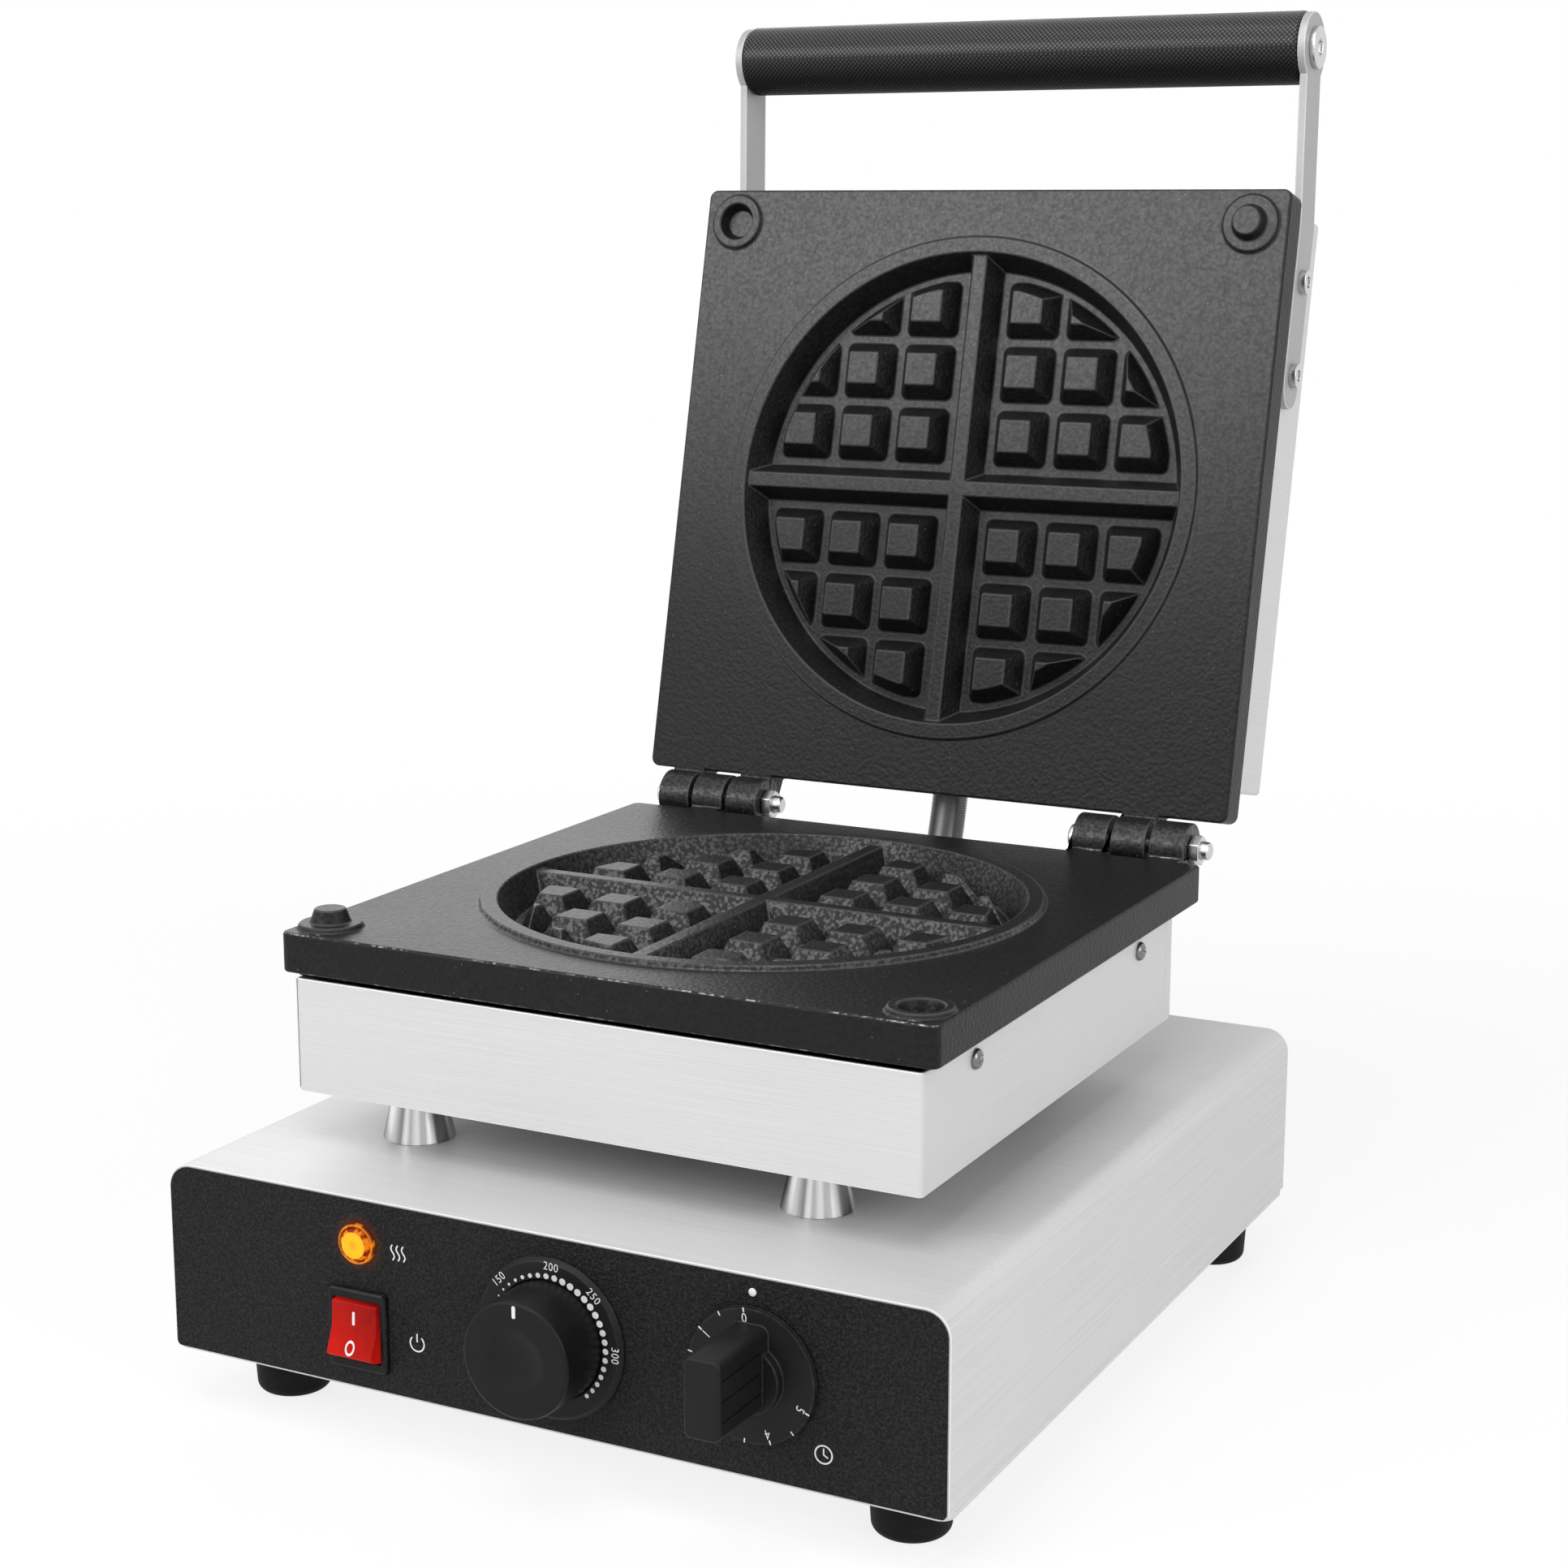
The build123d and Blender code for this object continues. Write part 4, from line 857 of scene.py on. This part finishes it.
# Timer: ticks for half minutes and figures for whole ones on its disc, index pin above it
FIRST_TICK = -6
TICK_STEP = 24.1
TICK_REACH = 24.35
MINUTES_REACH = 21.2
PIN_OUTLINE = ((1.5, -0.1), (1.5, 0.25), (1.35, 0.45), (1.0, 0.6), (0.0, 0.68))
minute_marks = bmesh.new()
for half in range(11):
    angle = FIRST_TICK - TICK_STEP * half
    whole = half % 2 == 0
    dash(minute_marks, on_dial(TIMER, angle, TICK_REACH), 0.6 if whole else 0.5, 1.7)
    if whole:
        figures(minute_marks, str(half // 2), on_dial(TIMER, angle, MINUTES_REACH), 3.5, 0.85)
laid_flat(minute_marks, DISC_MARKS)
show("timer_scale", minute_marks, print_white, "timer", smooth=False)
pin = turned_shape(PIN_OUTLINE, on_front(*INDEX_PIN, 0, PANEL_FACE), 28)
show("index_pin", pin, print_white, "base")

# Grooves along both sides of the timer's grip bar
BAR_HALF_WIDTH = 7.1
BAR_RISE = 4.7
GROOVE_MIDDLE = -207.5
GROOVE_LENGTH = 27.0
for side in (-1, 1):
    for z in (-7.5, 0.0, 7.5):
        groove = bmesh.new()
        place = on_front(
            TIMER[0] + side * BAR_HALF_WIDTH, TIMER[1] + BAR_RISE + z, 0, GROOVE_MIDDLE
        )
        block(groove, place, 0.9, 0.6, GROOVE_LENGTH)
        shapes["timer_knob"].data = carved(
            shapes["timer_knob"].data, finished(groove, "groove", False), "timer_knob_shape"
        )

# Rocker: one and nought
SIGN_RISE = 5.4
rocker_marks = bmesh.new()
dash(rocker_marks, on_front(SWITCH[0], SWITCH[1] + SIGN_RISE), 1.15, 5.2, 0.3)
nought_place = on_front(SWITCH[0], SWITCH[1] - SIGN_RISE)
ring = bmesh.ops.create_circle(rocker_marks, segments=36, radius=2.7 * MM, matrix=nought_place)
inner = bmesh.ops.create_circle(rocker_marks, segments=36, radius=1.8 * MM, matrix=nought_place)
loops = [edge for edge in rocker_marks.edges if not edge.link_faces]
bmesh.ops.bridge_loops(rocker_marks, edges=loops)
nought = ring["verts"] + inner["verts"]
to_nought = Matrix.Translation(-nought_place.translation)
bmesh.ops.scale(rocker_marks, vec=(0.78, 1, 1), verts=nought, space=to_nought)
laid_on(rocker_marks, shapes["power_rocker"], 0.06)
bmesh.ops.recalc_face_normals(rocker_marks, faces=rocker_marks.faces)
show("rocker_signs", rocker_marks, print_white, "rocker", smooth=False)

# Plain signs beside the controls: warmth, power and time
def arc(radius, start, end):
    """Points of an arc, 12 degrees apart, at angles clockwise from its top."""
    ways = [radians(angle) for angle in range(start, end, 12)]
    return [(radius * sin(way), radius * cos(way)) for way in ways]


signs = bmesh.new()
wave = [(0.75 * sin(step * pi / 6), step * 0.5 - 3.0) for step in range(13)]
waves = [[(x + shift, y) for x, y in wave] for shift in (-2.4, 0.0, 2.4)]
power = [arc(3.1, 38, 323), [(0, 0.6), (0, 3.9)]]
clock = [arc(3.3, 0, 361), [(0, 2.3), (0, 0), (1.7, -1.0)]]
stroke(signs, waves, 0.62, on_front(*WARMTH_SIGN, 0, PANEL_FACE))
stroke(signs, power, 0.66, on_front(*POWER_SIGN, 0, PANEL_FACE))
stroke(signs, clock, 0.6, on_front(*TIME_SIGN, 0, PANEL_FACE))
show("panel_signs", signs, print_white, "base")

# Pilot lamp: a faceted amber cap in a rounded rim
RIM_OUTLINE = (
    (5.5, -3.0), (5.5, 0.0), (7.7, 0.0), (8.0, 0.3), (8.0, 1.3), (7.75, 1.8), (7.3, 2.0),
    (6.85, 1.9), (6.6, 1.6), (6.5, 1.0), (0.0, 1.0),
)
CAP_OUTLINE = (
    (0.0, 1.0), (6.3, 1.0), (6.3, 1.9), (6.15, 2.6), (5.75, 3.1), (5.2, 3.35), (4.0, 3.4),
    (2.0, 3.4), (0.0, 3.4),
)
lamp_place = on_front(*LAMP, 0, PANEL_FACE)
rim = turned_shape(RIM_OUTLINE, lamp_place)
show("lamp_rim", rim, finish_of["lamp_body"], "base", ("lamp_body",))
cap = turned_shape(CAP_OUTLINE, lamp_place)
show("lamp_cap", cap, finish_of["lamp_lens"], "base", ("lamp_lens",))

# Cross-recessed screws in the sides of the lower casing
HEAD_HEIGHT = 2.6
HEAD_RADIUS = 4.0
HEAD_OUTLINE = (
    (0.0, -0.4), (HEAD_RADIUS, -0.4), (HEAD_RADIUS, 0.6), (3.8, 1.2), (3.3, 1.8), (2.4, 2.3),
    (1.2, 2.55), (0.0, HEAD_HEIGHT),
)
low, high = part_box("lower_casing_screws")
cross_head = finished(turned_shape(HEAD_OUTLINE, Matrix.Identity(4), 32), "head")
for spin in (0, 90):
    bar = bmesh.new()
    place = Matrix.Translation((0, 0, 2.4 * MM)) @ Matrix.Rotation(radians(spin), 4, "Z")
    block(bar, place, 4.4, 1.0, 2.6)
    cross_head = carved(cross_head, finished(bar, "bar", False), "cross_head")
cross_screws = bmesh.new()
for side in (-1, 1):
    seat = high.x - HEAD_HEIGHT * MM
    outward = Matrix.Rotation(side * pi / 2, 4, "Y")
    for y, spin in ((low.y + HEAD_RADIUS * MM, 24), (high.y - HEAD_RADIUS * MM, 67)):
        place = Matrix.Translation((side * seat, y, (low.z + high.z) / 2)) @ outward
        join(cross_screws, cross_head.copy(), place @ Matrix.Rotation(radians(spin), 4, "Z"))
show(
    "cross_screws", cross_screws, screw_steel, "base", ("lower_casing_screws",)
)

# Folded corner flaps on the sides of the lower casing, mitred at the bottom
FLAP_HEIGHT = 44.6
FLAP_WIDTH = 6.6
FLAP_INSET = 4.2
FLAP_LIFT = 0.06
FLAP_THICKNESS = 0.3
MITRE_RISE = 9.0
MITRE_CORNER = 5.0
low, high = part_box("lower_casing")
flaps = bmesh.new()
for side in (-1, 1):
    for end, y in ((1, low.y), (-1, high.y)):
        middle = (
            side * (high.x + FLAP_LIFT * MM), y + end * FLAP_INSET * MM, (low.z + high.z) / 2
        )
        place = Matrix.Translation(middle) @ Matrix.Rotation(pi / 2, 4, "Y")
        flap = bmesh.ops.create_grid(
            flaps,
            x_segments=1,
            y_segments=1,
            size=0.5,
            matrix=place @ scaled(FLAP_HEIGHT, FLAP_WIDTH),
        )
        for vert in flap["verts"]:
            inner_end = end * vert.co.y > end * y + MITRE_CORNER * MM
            if inner_end and vert.co.z < low.z + MITRE_CORNER * MM:
                vert.co.z += MITRE_RISE * MM
bmesh.ops.recalc_face_normals(flaps, faces=flaps.faces)
bmesh.ops.solidify(flaps, geom=flaps.faces[:], thickness=FLAP_THICKNESS * MM)
show("corner_flaps", flaps, sheet_steel, "base", smooth=False)

# Conduit hose: fine ribs along a smooth line from gland to gland
HOSE_ROUTE = [(0, 158.0, 109.0), (0, 158.0, 138.0), (0, 176.7, 169.4), (0, 183.2, 197.7)]
RIB_RADIUS = 8.4
VALLEY_RADIUS = 7.8
hose_line = bpy.data.curves.new("hose_line", "CURVE")
hose_line.dimensions = "3D"
line = hose_line.splines.new("NURBS")
line.points.add(len(HOSE_ROUTE) - 1)
for knot, (x, y, z) in zip(line.points, HOSE_ROUTE):
    knot.co = (x * MM, y * MM, z * MM, 1)
line.order_u = 3
line.use_endpoint_u = True
line.resolution_u = 64
traced = meshed(hose_line)
along = [vertex.co.copy() for vertex in traced.vertices]
bpy.data.meshes.remove(traced)
hose = bmesh.new()
rings = []
for index, (spot, after) in enumerate(zip(along, along[1:] + along[-1:])):
    before = along[max(index - 1, 0)]
    facing = (after - before).to_track_quat("Z", "X").to_matrix().to_4x4()
    radius = RIB_RADIUS if index % 2 else VALLEY_RADIUS
    rings.append(
        bmesh.ops.create_circle(
            hose, segments=40, radius=radius * MM, matrix=Matrix.Translation(spot) @ facing
        )["verts"]
    )
for first, second in zip(rings, rings[1:]):
    pair = set(first) | set(second)
    bmesh.ops.bridge_loops(
        hose, edges=[e for e in hose.edges if set(e.verts) <= pair and len(e.link_faces) < 2]
    )
bmesh.ops.recalc_face_normals(hose, faces=hose.faces)
hose_piece = bpy.data.objects.new("ribbed_hose", finished(hose, "ribbed_hose"))
scene.collection.objects.link(hose_piece)
hose_piece.data.materials.append(hose_metal)
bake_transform(hose_piece)
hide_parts("conduit_hose")


# Camera at the photograph's viewing angle
CAMERA_PLACE = (0.52417, -0.99696, 0.46301)
FOCAL_LENGTH = 64.58
turn = radians(27.43)
rise = radians(11.63)
back = Vector((sin(turn) * cos(rise), -cos(turn) * cos(rise), sin(rise)))
right = Vector((cos(turn), sin(turn), 0))
up = back.cross(right)
lens = bpy.data.cameras.new("lens")
lens.sensor_width = 36.0
lens.lens = FOCAL_LENGTH
lens.clip_end = 20.0
camera = bpy.data.objects.new("camera", lens)
scene.collection.objects.link(camera)
aimed = Matrix((right, up, back)).transposed().to_4x4()
camera.matrix_world = Matrix.Translation(CAMERA_PLACE) @ aimed
scene.camera = camera


# Studio: a white surround and floor, soft lights from the front left, above, right and rear
def soft_light(name, place, aim, size, power):
    """A soft light at a place, aimed at another, with a width and height in metres."""
    data = bpy.data.lights.new(name, "AREA")
    data.shape = "RECTANGLE"
    data.size = size[0]
    data.size_y = size[1]
    data.energy = power
    light = bpy.data.objects.new(name, data)
    scene.collection.objects.link(light)
    facing = (Vector(aim) - Vector(place)).to_track_quat("-Z", "Y").to_matrix().to_4x4()
    light.matrix_world = Matrix.Translation(place) @ facing


soft_light("key", (-1.1, -2.0, 1.5), (0, 0, 0.25), (1.6, 1.0), 27.5)
soft_light("top", (0.1, -0.9, 2.3), (0, -0.1, 0.2), (1.4, 1.4), 23.0)
soft_light("fill", (1.9, -0.7, 1.1), (0, 0, 0.2), (1.2, 1.2), 16.0)
soft_light("rear", (-1.5, 1.7, 1.0), (0, 0, 0.2), (1.2, 0.9), 5.0)

SEEN_RAYS = ("Is Camera Ray", "Is Glossy Ray", "Is Transmission Ray")
surround = bpy.data.worlds.new("surround")
scene.world = surround
surround.use_nodes = True
sky = surround.node_tree
sky.nodes.clear()
path = sky.nodes.new("ShaderNodeLightPath")
watched = path.outputs[SEEN_RAYS[0]]
for kind in SEEN_RAYS[1:]:
    either = sky.nodes.new("ShaderNodeMath")
    either.operation = "MAXIMUM"
    sky.links.new(watched, either.inputs[0])
    sky.links.new(path.outputs[kind], either.inputs[1])
    watched = either.outputs[0]
level = sky.nodes.new("ShaderNodeMapRange")
level.inputs["To Min"].default_value = 0.42
level.inputs["To Max"].default_value = 1.0
sky.links.new(watched, level.inputs["Value"])
glow = sky.nodes.new("ShaderNodeBackground")
glow.inputs["Color"].default_value = (1, 1, 1, 1)
sky.links.new(level.outputs[0], glow.inputs["Strength"])
world_end = sky.nodes.new("ShaderNodeOutputWorld")
sky.links.new(glow.outputs[0], world_end.inputs["Surface"])

ground = bmesh.new()
bmesh.ops.create_grid(ground, x_segments=1, y_segments=1, size=6.0)
floor_mesh = finished(ground, "floor", False)
floor = bpy.data.objects.new("floor", floor_mesh)
scene.collection.objects.link(floor)
paper = Finish("floor_paper")
fibre = paper.noise(paper.place(), 400.0, 3.0)
matt = paper.node(
    "ShaderNodeBsdfDiffuse", None, {"Color": paper.mix(fibre, grey(244), grey(252))}
)
lit = paper.node("ShaderNodeEmission", None, {"Color": (1, 1, 1, 1), "Strength": 1.0})
east, north, _ = paper.parts(paper.place())
far = distance(east, north).between(0.35, 1.25, 0.82, 1.0)
rays = [paper.node("ShaderNodeLightPath", out=kind) for kind in SEEN_RAYS]
seen = rays[0].math("MAXIMUM", rays[1]).math("MAXIMUM", rays[2])
both = paper.node("ShaderNodeMixShader", None, {0: far * seen, 1: matt, 2: lit})
paper.node("ShaderNodeOutputMaterial", None, {"Surface": both})
floor_mesh.materials.append(paper.material)

scene.view_settings.view_transform = "Standard"
